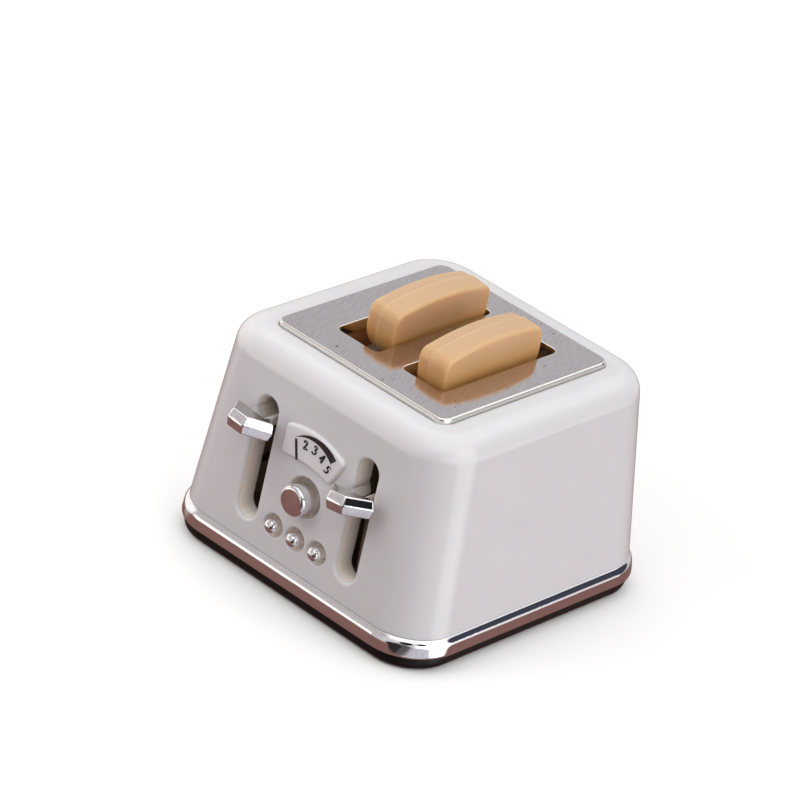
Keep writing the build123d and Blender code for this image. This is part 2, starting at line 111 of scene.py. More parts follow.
def round_rectangle(left: float, right: float, near: float, far: float, radius: float,
                    steps: int) -> List[Point]:
    """Rounded rectangle, anticlockwise from its far right corner.

    Args:
        left, right, near, far: Sides of the rectangle.
        radius: Corner radius.
        steps: Segments in each corner.

    Returns:
        The outline's points.
    """
    corners = ((right - radius, far - radius), (left + radius, far - radius))
    corners += ((left + radius, near + radius), (right - radius, near + radius))
    points = []
    for number, (x, y) in enumerate(corners):
        for angle in quarter(steps, number * pi / 2):
            points.append((x + radius * cos(angle), y + radius * sin(angle)))
    return points


def stadium(width: float, height: float, steps: int = 24) -> List[Point]:
    """Upright slot outline with round ends, anticlockwise."""
    radius, reach = width / 2, (height - width) / 2
    points = []
    for end, start in ((reach, 0.0), (-reach, pi)):
        for step in range(steps + 1):
            angle = start + pi * step / steps
            points.append((radius * cos(angle), end + radius * sin(angle)))
    return points


def circle(diameter: float, steps: int) -> List[Point]:
    """Round outline, anticlockwise."""
    angles = [2 * pi * step / steps for step in range(steps)]
    return [(diameter / 2 * cos(angle), diameter / 2 * sin(angle)) for angle in angles]


def rectangle(width: float, height: float) -> List[Point]:
    """Rectangle about the origin, anticlockwise."""
    x, y = width / 2, height / 2
    return [(-x, -y), (x, -y), (x, y), (-x, y)]


def square(width: float) -> List[Point]:
    """Square about the origin, anticlockwise."""
    return rectangle(width, width)


@dataclass(frozen=True)
class Stretch:
    """One side of an outline: a straight line, or an arc through a middle point."""

    start: Vector
    end: Vector
    middle: Optional[Vector] = None

    def _circle(self) -> Tuple[Vector, float, float, float]:
        """Centre, radius, first angle and sweep of the arc."""
        a, b, c = self.start, self.middle, self.end
        doubled = 2 * (a.x * (b.y - c.y) + b.x * (c.y - a.y) + c.x * (a.y - b.y))
        sa, sb, sc = a.length_squared, b.length_squared, c.length_squared
        x = (sa * (b.y - c.y) + sb * (c.y - a.y) + sc * (a.y - b.y)) / doubled
        y = (sa * (c.x - b.x) + sb * (a.x - c.x) + sc * (b.x - a.x)) / doubled
        centre = Vector((x, y))
        first = atan2(a.y - y, a.x - x)
        sweep = atan2(c.y - y, c.x - x) - first
        return centre, (a - centre).length, first, (sweep + pi) % (2 * pi) - pi

    def length(self) -> float:
        """Length along the stretch."""
        if self.middle is None:
            return (self.end - self.start).length
        _, radius, _, sweep = self._circle()
        return radius * abs(sweep)

    def at(self, share: float) -> Vector:
        """Point at a share of the length."""
        if self.middle is None:
            return self.start.lerp(self.end, share)
        centre, radius, first, sweep = self._circle()
        angle = first + sweep * share
        return centre + radius * Vector((cos(angle), sin(angle)))

    def heading(self, share: float, step: float = 1e-4) -> Vector:
        """Unit direction of travel at a share of the length."""
        return (self.at(share + step) - self.at(share - step)).normalized()


def soft_outline(corners: Sequence[Tuple[Point, float]], bows: Dict[int, Point],
                 steps: int = 8) -> List[Point]:
    """Anticlockwise outline whose corners are rounded and whose sides may bow.

    Args:
        corners: Each corner's place and radius.
        bows: For a side's number, the point that its arc goes through.
        steps: Segments in each rounded corner; a bowed side has twice as many.

    Returns:
        The outline's points.
    """
    count = len(corners)
    places = [Vector(place) for place, _ in corners]
    sides = []
    for i, place in enumerate(places):
        sides.append(Stretch(place, places[(i + 1) % count], Vector(bows[i]) if i in bows else None))
    bends = []
    for i, (_, radius) in enumerate(corners):
        before, after = sides[i - 1].heading(1.0), sides[i].heading(0.0)
        angle = acos(max(-1.0, min(1.0, before.dot(after))))
        bends.append((before, angle, radius * tan(angle / 2)))
    points = []
    for i, (_, radius) in enumerate(corners):
        before, angle, setback = bends[i]
        centre = places[i] - before * setback + Vector((-before.y, before.x)) * radius
        spoke = places[i] - before * setback - centre
        for step in range(steps + 1):
            points.append(tuple(centre + Matrix.Rotation(angle * step / steps, 2) @ spoke))
        if i in bows:
            length = sides[i].length()
            first, last = setback / length, 1 - bends[(i + 1) % count][2] / length
            for step in range(1, 2 * steps):
                points.append(tuple(sides[i].at(first + (last - first) * step / (2 * steps))))
    return points


def drawn_in(outline: Sequence[Point], inset: float) -> List[Point]:
    """Anticlockwise outline moved inwards by inset, point for point."""
    moved = []
    for i, (x, y) in enumerate(outline):
        along = (Vector(outline[(i + 1) % len(outline)]) - Vector(outline[i - 1])).normalized()
        moved.append((x - along.y * inset, y + along.x * inset))
    return moved


def placed(outline: Sequence[Point], height: float) -> List[Vector]:
    """Outline as points at one height."""
    return [Vector((x, y, height)) for x, y in outline]


# ---------------------------------------------------------------- solids


def linked(name: str, data: Optional[bpy.types.ID]) -> bpy.types.Object:
    """New object in the scene."""
    thing = bpy.data.objects.new(name, data)
    bpy.context.scene.collection.objects.link(thing)
    return thing


def evaluated_mesh(thing: bpy.types.Object) -> bpy.types.Mesh:
    """The object's mesh with its modifiers worked in."""
    return bpy.data.meshes.new_from_object(thing.evaluated_get(bpy.context.evaluated_depsgraph_get()))


def settled(thing: bpy.types.Object) -> bpy.types.Object:
    """The object with its modifiers worked into a plain mesh."""
    shape = evaluated_mesh(thing)
    thing.modifiers.clear()
    thing.data = shape
    return thing


def bent(edge: bmesh.types.BMEdge, degrees: float) -> bool:
    """True where an edge's faces meet at more than this angle."""
    return edge.calc_face_angle(0.0) > radians(degrees)


def level(edge: bmesh.types.BMEdge, z: float) -> bool:
    """True where both ends of an edge are at height z."""
    return all(abs(vert.co.z - z) < CLOSE for vert in edge.verts)


class Solid:
    """A closed mesh being made, in millimetres."""

    def __init__(self) -> None:
        """Starts with no faces."""
        self.mesh = bmesh.new()

    def loft(self, loops: Sequence[Sequence[Vector]], place: Matrix = HERE, ring: bool = False,
             finish: int = 0) -> "Solid":
        """Joins loops of equal count, capped at both ends or closed on itself.

        Args:
            loops: Anticlockwise loops from low to high.
            place: Where the loops' own axes lie.
            ring: True where the last loop joins the first.
            finish: Index of the faces' material.

        Returns:
            This solid.
        """
        rows = [[self.mesh.verts.new(place @ point) for point in loop] for loop in loops]
        pairs = list(zip(rows, rows[1:])) + ([(rows[-1], rows[0])] if ring else [])
        faces = []
        for low, high in pairs:
            for i in range(len(low)):
                j = (i + 1) % len(low)
                faces.append(self.mesh.faces.new((low[i], low[j], high[j], high[i])))
        if not ring:
            faces += [self.mesh.faces.new(rows[0][::-1]), self.mesh.faces.new(rows[-1])]
        for face in faces:
            face.material_index = finish
        return self

    def prism(self, outline: Sequence[Point], low: float, high: float, place: Matrix = HERE,
              finish: int = 0) -> "Solid":
        """Adds a straight prism on an outline between two heights."""
        return self.loft([placed(outline, low), placed(outline, high)], place, finish=finish)

    def turned(self, profile: Sequence[Point], place: Matrix, steps: int) -> "Solid":
        """Adds a turned form.

        Args:
            profile: (radius, height) pairs; the first and last radius may be nothing.
            place: Where its axis lies.
            steps: Segments round the axis.

        Returns:
            This solid.
        """
        rows = []
        for radius, height in profile:
            ring = circle(2 * radius, steps) if radius > CLOSE / 10 else [(0.0, 0.0)]
            rows.append([self.mesh.verts.new(place @ point) for point in placed(ring, height)])
        for low, high in zip(rows, rows[1:]):
            for i in range(steps):
                j = (i + 1) % steps
                corners = [low[i % len(low)], low[j % len(low)], high[j % len(high)], high[i % len(high)]]
                self.mesh.faces.new(list(dict.fromkeys(corners)))
        for row in (rows[0][::-1], rows[-1]):
            if len(row) > 1:
                self.mesh.faces.new(row)
        return self

    def soften(self, choose: Choice, width: float, steps: int, finish: int = -1) -> "Solid":
        """Rounds chosen edges.

        Args:
            choose: Says which edges.
            width: Setback of the rounding.
            steps: Segments across it.
            finish: Material index of the new faces, or -1 for the neighbours' own.

        Returns:
            This solid.
        """
        self.mesh.normal_update()
        edges = [edge for edge in self.mesh.edges if len(edge.link_faces) == 2 and choose(edge)]
        bmesh.ops.bevel(
            self.mesh, geom=edges, offset=width, offset_type="OFFSET", segments=steps, profile=0.5,
            affect="EDGES", clamp_overlap=False, material=finish,
        )
        return self

    def join(self, tool: "Solid", kind: Join) -> "Solid":
        """Cuts or fuses another solid, which is used up."""
        body, cutter = self._object("body"), tool._object("tool")
        change = body.modifiers.new("join", "BOOLEAN")
        change.operation, change.solver, change.object = kind.value, "EXACT", cutter
        self.mesh = bmesh.new()
        self.mesh.from_mesh(evaluated_mesh(body))
        for thing in (body, cutter):
            bpy.data.objects.remove(thing)
        if not self.mesh.faces:
            raise RuntimeError(f"{kind.name} left no faces")
        return self.moved(Matrix.Scale(1 / MM, 4))

    def cut(self, outline: Sequence[Point], low: float, high: float, place: Matrix = HERE) -> "Solid":
        """Cuts a prism away."""
        return self.join(Solid().prism(outline, low, high, place), Join.CUT)

    def fuse(self, outline: Sequence[Point], low: float, high: float, place: Matrix = HERE) -> "Solid":
        """Fuses a prism on."""
        return self.join(Solid().prism(outline, low, high, place), Join.FUSE)

    def moved(self, place: Matrix) -> "Solid":
        """This solid after a move, turn or scale."""
        self.mesh.transform(place)
        return self

    def _object(self, name: str) -> bpy.types.Object:
        """Object in metres made of the mesh so far, which it uses up."""
        data = bpy.data.meshes.new(name)
        self.moved(Matrix.Scale(MM, 4)).mesh.to_mesh(data)
        self.mesh.free()
        return linked(name, data)

    def piece(self, name: str, finishes: Sequence[str], crease: float = 38.0) -> bpy.types.Object:
        """Finished object with smooth shading between creases.

        Args:
            name: The piece's name.
            finishes: Keys of its finishes, in the order of the faces' indices.
            crease: Angle in degrees above which an edge stays sharp.

        Returns:
            The object, at the origin.
        """
        bmesh.ops.dissolve_degenerate(self.mesh, dist=1e-5, edges=self.mesh.edges)
        bmesh.ops.recalc_face_normals(self.mesh, faces=self.mesh.faces)
        thing = self._object(name)
        for key in finishes:
            thing.data.materials.append(material(key))
        thing.data.shade_smooth()
        thing.data.set_sharp_from_angle(angle=radians(crease))
        weigh = thing.modifiers.new("weigh", "WEIGHTED_NORMAL")
        weigh.mode, weigh.keep_sharp, weigh.weight = "FACE_AREA", True, 50
        return settled(thing)


def fit(thing: bpy.types.Object, body: str, slot: str, *nodes: str) -> bpy.types.Object:
    """Hangs a piece on its body.

    Args:
        thing: The finished piece.
        body: The body that it moves with.
        slot: Not used.
        nodes: The frame nodes that it stands for.

    Returns:
        The piece.
    """
    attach(thing, body)
    if nodes:
        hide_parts(*nodes)
    LOG.info("%s rides on %s, %d faces", thing.name, body, len(thing.data.polygons))
    return thing


# ---------------------------------------------------------------- node trees


class Tree:
    """Node tree being filled."""

    def __init__(self, tree: bpy.types.NodeTree) -> None:
        """Takes the tree."""
        self.tree = tree

    def add(self, kind: str, **settings: object) -> Node:
        """Adds a node and sets its own properties."""
        node = self.tree.nodes.new(kind)
        for key, value in settings.items():
            setattr(node, key, value)
        return node

    def put(self, target: Socket, value: object) -> None:
        """Links a socket to an input, or sets the input's own value."""
        if isinstance(value, Socket):
            self.tree.links.new(value, target)
        else:
            target.default_value = (*value, 1.0) if target.type == "RGBA" else value

    def feed(self, node: Node, **inputs: object) -> Node:
        """Fills a node's inputs, which are named with underscores for spaces."""
        for key, value in inputs.items():
            self.put(node.inputs[key.replace("_", " ")], value)
        return node

    def spread(self, source: Socket, low: float, high: float, first: float = 0.0, last: float = 1.0,
               **settings: object) -> Socket:
        """Source mapped from low..high to first..last."""
        node = self.add("ShaderNodeMapRange", **settings)
        self.feed(node, Value=source, From_Min=low, From_Max=high, To_Min=first, To_Max=last)
        return node.outputs["Result"]

    def ramp(self, source: Socket, *stops: Tuple[float, Color]) -> Socket:
        """Colour that passes stops of (value, colour) as source rises."""
        node = self.feed(self.add("ShaderNodeValToRGB"), Fac=source)
        marks = node.color_ramp.elements
        for mark, (value, color) in zip([marks[0], *(marks.new(0.5) for _ in stops[2:]), marks[-1]], stops):
            mark.position, mark.color = value, (*color, 1.0)
        return node.outputs["Color"]

    def mix(self, share: Socket, first: object, second: object) -> Socket:
        """Blend of two colours, each a socket or plain."""
        node = self.add("ShaderNodeMix", data_type="RGBA")
        for index, value in ((0, share), (6, first), (7, second)):
            self.put(node.inputs[index], value)
        return node.outputs[2]

    def noise_on(self, coordinates: Socket, scale: float, detail: float) -> Socket:
        """Noise on coordinates times scale."""
        node = self.feed(self.add("ShaderNodeTexNoise"), Vector=coordinates, Scale=scale, Detail=detail)
        return node.outputs["Fac"]

    def axis(self, source: Socket, name: str) -> Socket:
        """One part of a vector."""
        return self.feed(self.add("ShaderNodeSeparateXYZ"), Vector=source).outputs[name]


# ---------------------------------------------------------------- finishes


USUAL = (0.3, 0.7)  # where most of a noise's values lie


def dimmed(color: Color, factor: float) -> Color:
    """Colour times a factor."""
    return tuple(part * factor for part in color)


class Shader(Tree):
    """Node tree of one material, built round its Principled shader on Object coordinates."""

    def __init__(self, name: str, **constants: object) -> None:
        """Makes the material.

        Args:
            name: The material's name.
            constants: Values for the shader's own sockets, with underscores for spaces.
        """
        self.material = bpy.data.materials.new(name)
        self.material.use_nodes = True
        super().__init__(self.material.node_tree)
        self.surface = next(node for node in self.tree.nodes if node.type == "BSDF_PRINCIPLED")
        self.coordinates = self.add("ShaderNodeTexCoord").outputs["Object"]
        self.feed(self.surface, **constants)

    def stretched(self, scale: Sequence[float], degrees: float = 0.0, start: Point = (0.0, 0.0)) -> Socket:
        """Object coordinates multiplied along each axis.

        Args:
            scale: Factor along X, Y and Z.
            degrees: Turn about Z, before the scale.
            start: New origin in X and Y, in metres.

        Returns:
            The changed coordinates.
        """
        moved = self.add("ShaderNodeMapping", vector_type="TEXTURE")
        self.feed(moved, Vector=self.coordinates, Location=(*start, 0.0), Rotation=(0, 0, radians(degrees)))
        grown = self.add("ShaderNodeVectorMath", operation="MULTIPLY")
        self.put(grown.inputs[0], moved.outputs["Vector"])
        self.put(grown.inputs[1], scale)
        return grown.outputs["Vector"]

    def noise(self, size_mm: float, detail: float = 3.0) -> Socket:
        """Noise with features of about size_mm."""
        return self.noise_on(self.coordinates, 1 / (size_mm * MM), detail)

    def about(self, source: Socket, middle: float, low: float, high: float,
              span: Tuple[float, float] = USUAL) -> Socket:
        """Value that goes from low to high times its middle as source crosses its span."""
        return self.spread(source, *span, middle * low, middle * high)

    def bump(self, height: Socket, depth_mm: float) -> None:
        """Adds relief of depth_mm on top of what the surface already has."""
        node = self.feed(self.add("ShaderNodeBump"), Strength=1.0, Distance=depth_mm * MM, Height=height)
        for link in self.surface.inputs["Normal"].links:
            self.put(node.inputs["Normal"], link.from_socket)
        self.put(self.surface.inputs["Normal"], node.outputs["Normal"])

    def done(self, color: Socket, roughness: Socket) -> bpy.types.Material:
        """The material with its colour and roughness put in."""
        self.feed(self.surface, Base_Color=color, Roughness=roughness)
        return self.material


@dataclass(frozen=True)
class Finish:
    """Recipe of one material."""

    name: str

    def make(self) -> bpy.types.Material:
        """Builds the material."""
        raise NotImplementedError


@dataclass(frozen=True)
class MouldedPlastic(Finish):
    """Moulded plastic with a faint orange-peel surface and slight mottling."""

    color: Color
    roughness: float
    mottle: float = 0.03
    cloud_mm: float = 4.0
    grain_mm: float = 0.35
    relief_mm: float = 0.001
    coat: float = 0.0
    glow: float = 0.0
    glow_depth_mm: float = 1.2
    glow_reach: Color = (1.0, 0.72, 0.55)
    glint: float = 0.5

    def make(self) -> bpy.types.Material:
        """Builds the material."""
        paint = Shader(self.name, Coat_Weight=self.coat, Coat_Roughness=0.04, Subsurface_Weight=self.glow,
                       Subsurface_Scale=self.glow_depth_mm * MM, Subsurface_Radius=self.glow_reach,
                       Specular_IOR_Level=self.glint)
        paint.bump(paint.noise(self.grain_mm, 2.0), self.relief_mm)
        darker = dimmed(self.color, 1 - self.mottle)
        tint = paint.ramp(paint.noise(self.cloud_mm, 2.0), (0.35, darker), (0.7, self.color))
        return paint.done(tint, paint.about(paint.noise(self.grain_mm * 4, 1.0), self.roughness, 0.96, 1.04))


@dataclass(frozen=True)
class Plating(Finish):
    """Bright plating over moulded plastic: mirror with slight waves and a few dull flecks."""

    color: Color = (0.86, 0.855, 0.86)
    roughness: float = 0.028
    wave_mm: float = 0.8
    relief_mm: float = 0.006
    fleck_mm: float = 0.16
    haze_mm: float = 0.5
    tint_mm: float = 2.0

    def make(self) -> bpy.types.Material:
        """Builds the material."""
        paint = Shader(self.name, Metallic=1.0)
        paint.bump(paint.noise(self.wave_mm, 1.0), self.relief_mm)
        flecks = paint.spread(paint.noise(self.fleck_mm), 0.62, 0.72)
        base = paint.ramp(paint.noise(self.tint_mm), (0.3, dimmed(self.color, 0.97)), (0.7, self.color))
        haze = paint.about(paint.noise(self.haze_mm, 4.0), self.roughness, 0.6, 2.2, (0.35, 0.75))
        return paint.done(paint.mix(flecks, base, dimmed(self.color, 0.8)), haze)


@dataclass(frozen=True)
class BrushedNickel(Finish):
    """Brushed plate: fine strokes along wavy rings, cloudy dullness and a few tiny dark pits."""

    color: Color = (0.59, 0.555, 0.565)
    pit_color: Color = (0.05, 0.04, 0.04)
    roughness: float = 0.03
    ring_mm: float = 0.16
    ring_centre: Point = (-0.006, 0.028)
    waves_in_unit: float = 0.314
    stroke_scale: Tuple[float, float, float] = (5200, 800, 800)
    stroke_turn: float = 24.0
    stroke_relief_mm: float = 0.0003
    ring_relief_mm: float = 0.0009
    cloud_mm: float = 1.8
    pit_mm: float = 0.34

    def rings(self, paint: Shader) -> Socket:
        """Wavy rings about a place beyond the plate's far edge."""
        wave = paint.add("ShaderNodeTexWave", wave_type="RINGS", rings_direction="Z", wave_profile="SIN")
        per_metre = self.waves_in_unit / (self.ring_mm * MM)
        paint.feed(wave, Vector=paint.stretched((per_metre,) * 3, 0.0, self.ring_centre), Scale=1.0,
                   Distortion=7.0, Detail=4.0, Detail_Scale=0.12, Detail_Roughness=0.6)
        return wave.outputs["Fac"]

    def make(self) -> bpy.types.Material:
        """Builds the material."""
        paint = Shader(self.name, Metallic=1.0)
        rings = self.rings(paint)
        strokes = paint.noise_on(paint.stretched(self.stroke_scale, self.stroke_turn), 1.0, 5.0)
        paint.bump(strokes, self.stroke_relief_mm)
        paint.bump(rings, self.ring_relief_mm)
        shades = ((0.3, dimmed(self.color, 0.9)), (0.72, self.color))
        cloud = paint.ramp(paint.noise(self.cloud_mm, 4.0), *shades)
        lined = paint.mix(paint.spread(strokes, 0.42, 0.6), cloud, dimmed(self.color, 1.05))
        ringed = paint.mix(paint.spread(rings, 0.0, 1.0, 0.0, 0.5), lined, dimmed(self.color, 0.86))
        pits = paint.spread(paint.noise(self.pit_mm, 0.0), 0.825, 0.84)
        haze = paint.about(strokes, self.roughness, 0.7, 1.4, (0.3, 0.75))
        return paint.done(paint.mix(pits, ringed, self.pit_color), haze)


@dataclass(frozen=True)
class ToastPlastic(Finish):
    """Satin toast-coloured plastic with painted shade that darkens it towards the plate and down into the
    slot, darker random lumps, and a frosted front end.
    """

    light: Color = (0.575, 0.375, 0.2)
    # Painted shade: the colour that the slice darkens to at and below the plate; the random lumps darken
    # towards it too.
    dark: Color = (0.6, 0.32, 0.115)
    frosted: Color = (0.74, 0.56, 0.38)
    rim_z: float = 20.1
    shade_fade_mm: float = 4.0
    frost_y: Tuple[float, float] = (-3.4, -4.6)
    scratch_scale: Tuple[float, float, float] = (6000, 18000, 7000)
    glow_reach: Color = (1.0, 0.55, 0.25)
    pore_mm: float = 0.12
    pore_depth_mm: float = 0.0012
    lump_mm: float = 1.6
    lump_depth_mm: float = 0.01

    def make(self) -> bpy.types.Material:
        """Builds the material."""
        paint = Shader(self.name, Subsurface_Weight=0.75, Subsurface_Scale=2.2 * MM,
                       Subsurface_Radius=self.glow_reach, Coat_Weight=0.4, Coat_Roughness=0.25)
        paint.bump(paint.noise(self.pore_mm), self.pore_depth_mm)
        paint.bump(paint.noise(self.lump_mm, 1.0), self.lump_depth_mm)
        height = paint.axis(paint.coordinates, "Z")
        # Painted shade: from the plate's height upwards the slice fades from its shade colour to its light
        # colour.
        out_of_slot_shade = paint.spread(height, self.rim_z * MM, (self.rim_z + self.shade_fade_mm) * MM)
        body = paint.ramp(out_of_slot_shade, (0.0, self.dark), (0.6, self.light))
        mottled = paint.mix(paint.spread(paint.noise(self.lump_mm), 0.5, 0.85, 0.0, 0.2), body, self.dark)
        near = paint.spread(paint.axis(paint.coordinates, "Y"), *(y * MM for y in self.frost_y))
        scratches = paint.noise_on(paint.stretched(self.scratch_scale), 1.0, 3.0)
        both = paint.add("ShaderNodeMath", operation="MULTIPLY")
        paint.put(both.inputs[0], near)
        paint.put(both.inputs[1], paint.spread(scratches, 0.55, 0.75, 0.0, 0.35))
        color = paint.mix(both.outputs[0], mottled, self.frosted)
        return paint.done(color, paint.spread(paint.noise(0.3), *USUAL, 0.36, 0.48))


@dataclass(frozen=True)
class PrintInk(Finish):
    """Dark scale ink with a slightly uneven edge and body."""

    color: Color = (0.012, 0.008, 0.007)
    worn_color: Color = (0.12, 0.1, 0.1)
    worn_mm: float = 0.5
    cloud_mm: float = 0.6
    grain_mm: float = 0.1

    def make(self) -> bpy.types.Material:
        """Builds the material."""
        paint = Shader(self.name)
        worn = paint.spread(paint.noise(self.worn_mm, 2.0), 0.6, 0.75, 0.0, 0.3)
        base = paint.ramp(paint.noise(self.cloud_mm), (0.3, self.color), (0.7, dimmed(self.color, 1.5)))
        grain = paint.spread(paint.noise(self.grain_mm), *USUAL, 0.35, 0.55)
        return paint.done(paint.mix(worn, base, self.worn_color), grain)


@dataclass(frozen=True)
class RolledSteel(Finish):
    """Plain steel with fine drawn lines."""

    color: Color = (0.34, 0.32, 0.3)
    roughness: float = 0.32
    line_scale: Tuple[float, float, float] = (900, 900, 12000)
    relief_mm: float = 0.001

    def make(self) -> bpy.types.Material:
        """Builds the material."""
        paint = Shader(self.name, Metallic=1.0)
        lines = paint.noise_on(paint.stretched(self.line_scale), 1.0, 4.0)
        paint.bump(lines, self.relief_mm)
        tint = paint.ramp(lines, (0.3, dimmed(self.color, 0.85)), (0.7, self.color))
        return paint.done(tint, paint.about(lines, self.roughness, 0.8, 1.2))


GLOSS = dict(roughness=0.24, mottle=0.02, grain_mm=0.6, relief_mm=0.00006, coat=0.4, glow=0.5)

FINISHES: Dict[str, Finish] = {
    "white": MouldedPlastic("gloss_white_plastic", (0.675, 0.665, 0.68), **GLOSS),
    "panel": MouldedPlastic("scale_white", (0.77, 0.755, 0.77), **GLOSS),
    # Painted light: a brighter, warmer copy of the white plastic for the walls inside the slots and pockets,
    # so that the recesses look lit.
    "painted_recess_light": MouldedPlastic("white_plastic_painted_recess_light", (0.92, 0.855, 0.79), 0.5, 0.02, grain_mm=0.6,
                                 relief_mm=0.0005, glow=0.5, glint=0.3),
    "black": MouldedPlastic("black_plastic", (0.006, 0.0045, 0.0045), 0.36, glint=0.22),
    "dark": MouldedPlastic("brown_plastic", (0.36, 0.17, 0.075), 0.45),
    "taupe": MouldedPlastic("warm_grey_plastic", (0.2, 0.145, 0.1), 0.45),
    # Painted light: a lighter, brown copy of the black plastic for the tray's inner faces, as if light
    # reached inside the case.
    "painted_inside_light": MouldedPlastic("black_plastic_painted_inside_light", (0.065, 0.05, 0.04), 0.6),
    "chrome": Plating("bright_plating"),
    "lumpy": Plating("uneven_plating", wave_mm=0.55, relief_mm=0.014),
    # Darker, duller copy of the plating for the levers' top and back faces: a painted reflection of the
    # shaded wall and slot above them.
    "thin": Plating("lever_top_painted_reflection_plating", (0.56, 0.54, 0.51), 0.1, 0.55, 0.008),
    "nickel": BrushedNickel("brushed_nickel"),
    "polished": Plating("polished_nickel_edge", (0.84, 0.82, 0.78), 0.08, 0.7, 0.002),
    "toast": ToastPlastic("toast_plastic"),
    # Lighter copy of the toast finish for the mould line: a painted highlight where its ridge catches the
    # light.
    "flash": ToastPlastic("toast_mould_line_painted_highlight", (0.62, 0.42, 0.24), (0.62, 0.34, 0.13)),
    "ink": PrintInk("scale_ink"),
    "steel": RolledSteel("plain_steel"),
    "spring": RolledSteel("spring_strip", (0.42, 0.43, 0.45), 0.25),
}


@lru_cache(maxsize=None)
def material(key: str) -> bpy.types.Material:
    """The material of a finish, made once."""
    return FINISHES[key].make()


# ---------------------------------------------------------------- walls and openings


@dataclass
class Walls:
    """The four drafted walls that housing, bead and tray share."""

    front: float = 14.15
    back: float = 14.35
    corner: float = 4.4
    least_corner: float = 0.3
    side_draft: float = 5.14
    front_draft: float = 4.23
    back_draft: float = 5.08
    side_wall: float = 1.5
    front_wall: float = 2.0
    corner_steps: int = 16

    def __post_init__(self) -> None:
        """Takes the foot's height and width from the frame."""
        low, high = node_box("shell")
        self.low, self.width = node_box("trim_ring")[1].z, high.x - low.x

    def half_width(self, z: float) -> float:
        """Half the width at height z."""
        return self.width / 2 - (z - self.low) * tan(radians(self.side_draft))

    def front_y(self, z: float) -> float:
        """Place of the front face at height z."""
        return -self.front + (z - self.low) * tan(radians(self.front_draft))

    def back_y(self, z: float) -> float:
        """Place of the back face at height z."""
        return self.back - (z - self.low) * tan(radians(self.back_draft))

    def section(self, z: float, inset: float = 0.0, front_inset: Optional[float] = None) -> List[Vector]:
        """Rounded outline at height z, drawn in by inset."""
        half, far = self.half_width(z) - inset, self.back_y(z) - inset
        near = self.front_y(z) + (inset if front_inset is None else front_inset)
        radius = max(self.corner - inset, self.least_corner)
        return placed(round_rectangle(-half, half, near, far, radius, self.corner_steps), z)

    def inner(self, z: float, gap: float = 0.0) -> List[Vector]:
        """Outline at height z of the walls' inside, drawn in by a gap."""
        return self.section(z, self.side_wall + gap, self.front_wall + gap)

    def roof_section(self, top: float, radius: float, angle: float) -> List[Vector]:
        """Outline on the roof's rounded edge, at an angle from the wall towards the roof.

        Args:
            top: Height of the roof.
            radius: Radius of the edge.
            angle: Angle of the surface's normal above the horizontal.

        Returns:
            The outline's points.
        """
        middle = top - radius
        drafts = (self.side_draft, self.front_draft, self.back_draft)
        side, front, back = (radius / cos(radians(draft)) - radius * cos(angle) for draft in drafts)
        half = self.half_width(middle) - side
        near, far = self.front_y(middle) + front, self.back_y(middle) - back
        outline = round_rectangle(-half, half, near, far, self.corner - side, self.corner_steps)
        return placed(outline, middle + radius * sin(angle))

    def front_frame(self, x: float, z: float) -> Matrix:
        """Axes on the front face at (x, z): X across, Y up the face and Z outwards."""
        draft = radians(self.front_draft)
        return Matrix((
            (1, 0, 0, x),
            (0, sin(draft), -cos(draft), self.front_y(z)),
            (0, cos(draft), sin(draft), z),
            (0, 0, 0, 1),
        ))


@dataclass
class Openings:
    """Slots, pockets and bores of the front wall."""

    lever_spacing: float = 11.34
    slot_width: float = 2.25
    slot_low: float = 4.78
    slot_high: float = 15.63
    slot_rim: float = 0.3
    knob_z: float = 9.4
    knob_pocket: float = 3.4
    button_z: float = 5.6
    button_pitch: float = 2.47
    button_pocket: float = 1.96
    pocket_depth: float = 0.9
    pocket_rim: float = 0.2
    shaft_bore: float = 1.28
    button_bore: float = 1.22

    def lever_x(self, side: Side) -> float:
        """X of a lever's slot."""
        return side.value * self.lever_spacing / 2

    def button_centres(self) -> List[float]:
        """X of the three buttons."""
        return [(index - 1) * self.button_pitch for index in range(3)]

    def pockets(self) -> List[Tuple[float, float, float, float]]:
        """X, height, pocket and bore diameter of each round pocket."""
        button = (self.button_z, self.button_pocket, self.button_bore)
        rows = [(0.0, self.knob_z, self.knob_pocket, self.shaft_bore)]
        return rows + [(x, *button) for x in self.button_centres()]


# ---------------------------------------------------------------- scale


DIGIT_STROKES: Dict[str, List[List[Point]]] = {
    "2": [[(0.08, 0.72), (0.14, 0.93), (0.32, 0.96), (0.47, 0.78), (0.36, 0.5), (0.06, 0.08)],
          [(0.04, 0.07), (0.54, 0.07)], [(0.5, 0.05), (0.53, 0.22)]],
    "3": [[(0.08, 0.78), (0.2, 0.95), (0.4, 0.92), (0.44, 0.7), (0.22, 0.54)],
          [(0.22, 0.54), (0.44, 0.46), (0.5, 0.24), (0.32, 0.04), (0.1, 0.08), (0.05, 0.24)]],
    "4": [[(0.42, 1.0), (0.22, 0.6), (0.02, 0.28)], [(0.0, 0.28), (0.56, 0.28)], [(0.42, 1.0), (0.42, 0.0)],
          [(0.3, 0.03), (0.54, 0.03)]],
    "5": [[(0.14, 0.94), (0.52, 0.94)], [(0.16, 0.96), (0.13, 0.54)],
          [(0.13, 0.54), (0.32, 0.6), (0.48, 0.44), (0.44, 0.16), (0.24, 0.03), (0.06, 0.14)]],
}
DIGIT_MIDDLE = (0.28, 0.5)


def smooth(stroke: Sequence[Point], steps: int = 5) -> List[Point]:
    """Rounded path through a stroke's points; a stroke of two points stays straight."""
    if len(stroke) == 2:
        return list(stroke)
    ends = [Vector(stroke[0]), *(Vector(point) for point in stroke), Vector(stroke[-1])]
    path = []
    for a, b, c, d in zip(ends, ends[1:], ends[2:], ends[3:]):
        for step in range(steps):
            t = step / steps
            path.append(tuple(0.5 * (2 * b + (c - a) * t + (2 * a - 5 * b + 4 * c - d) * t * t
                                     + (3 * b - a - 3 * c + d) * t ** 3)))
    return path + [tuple(stroke[-1])]


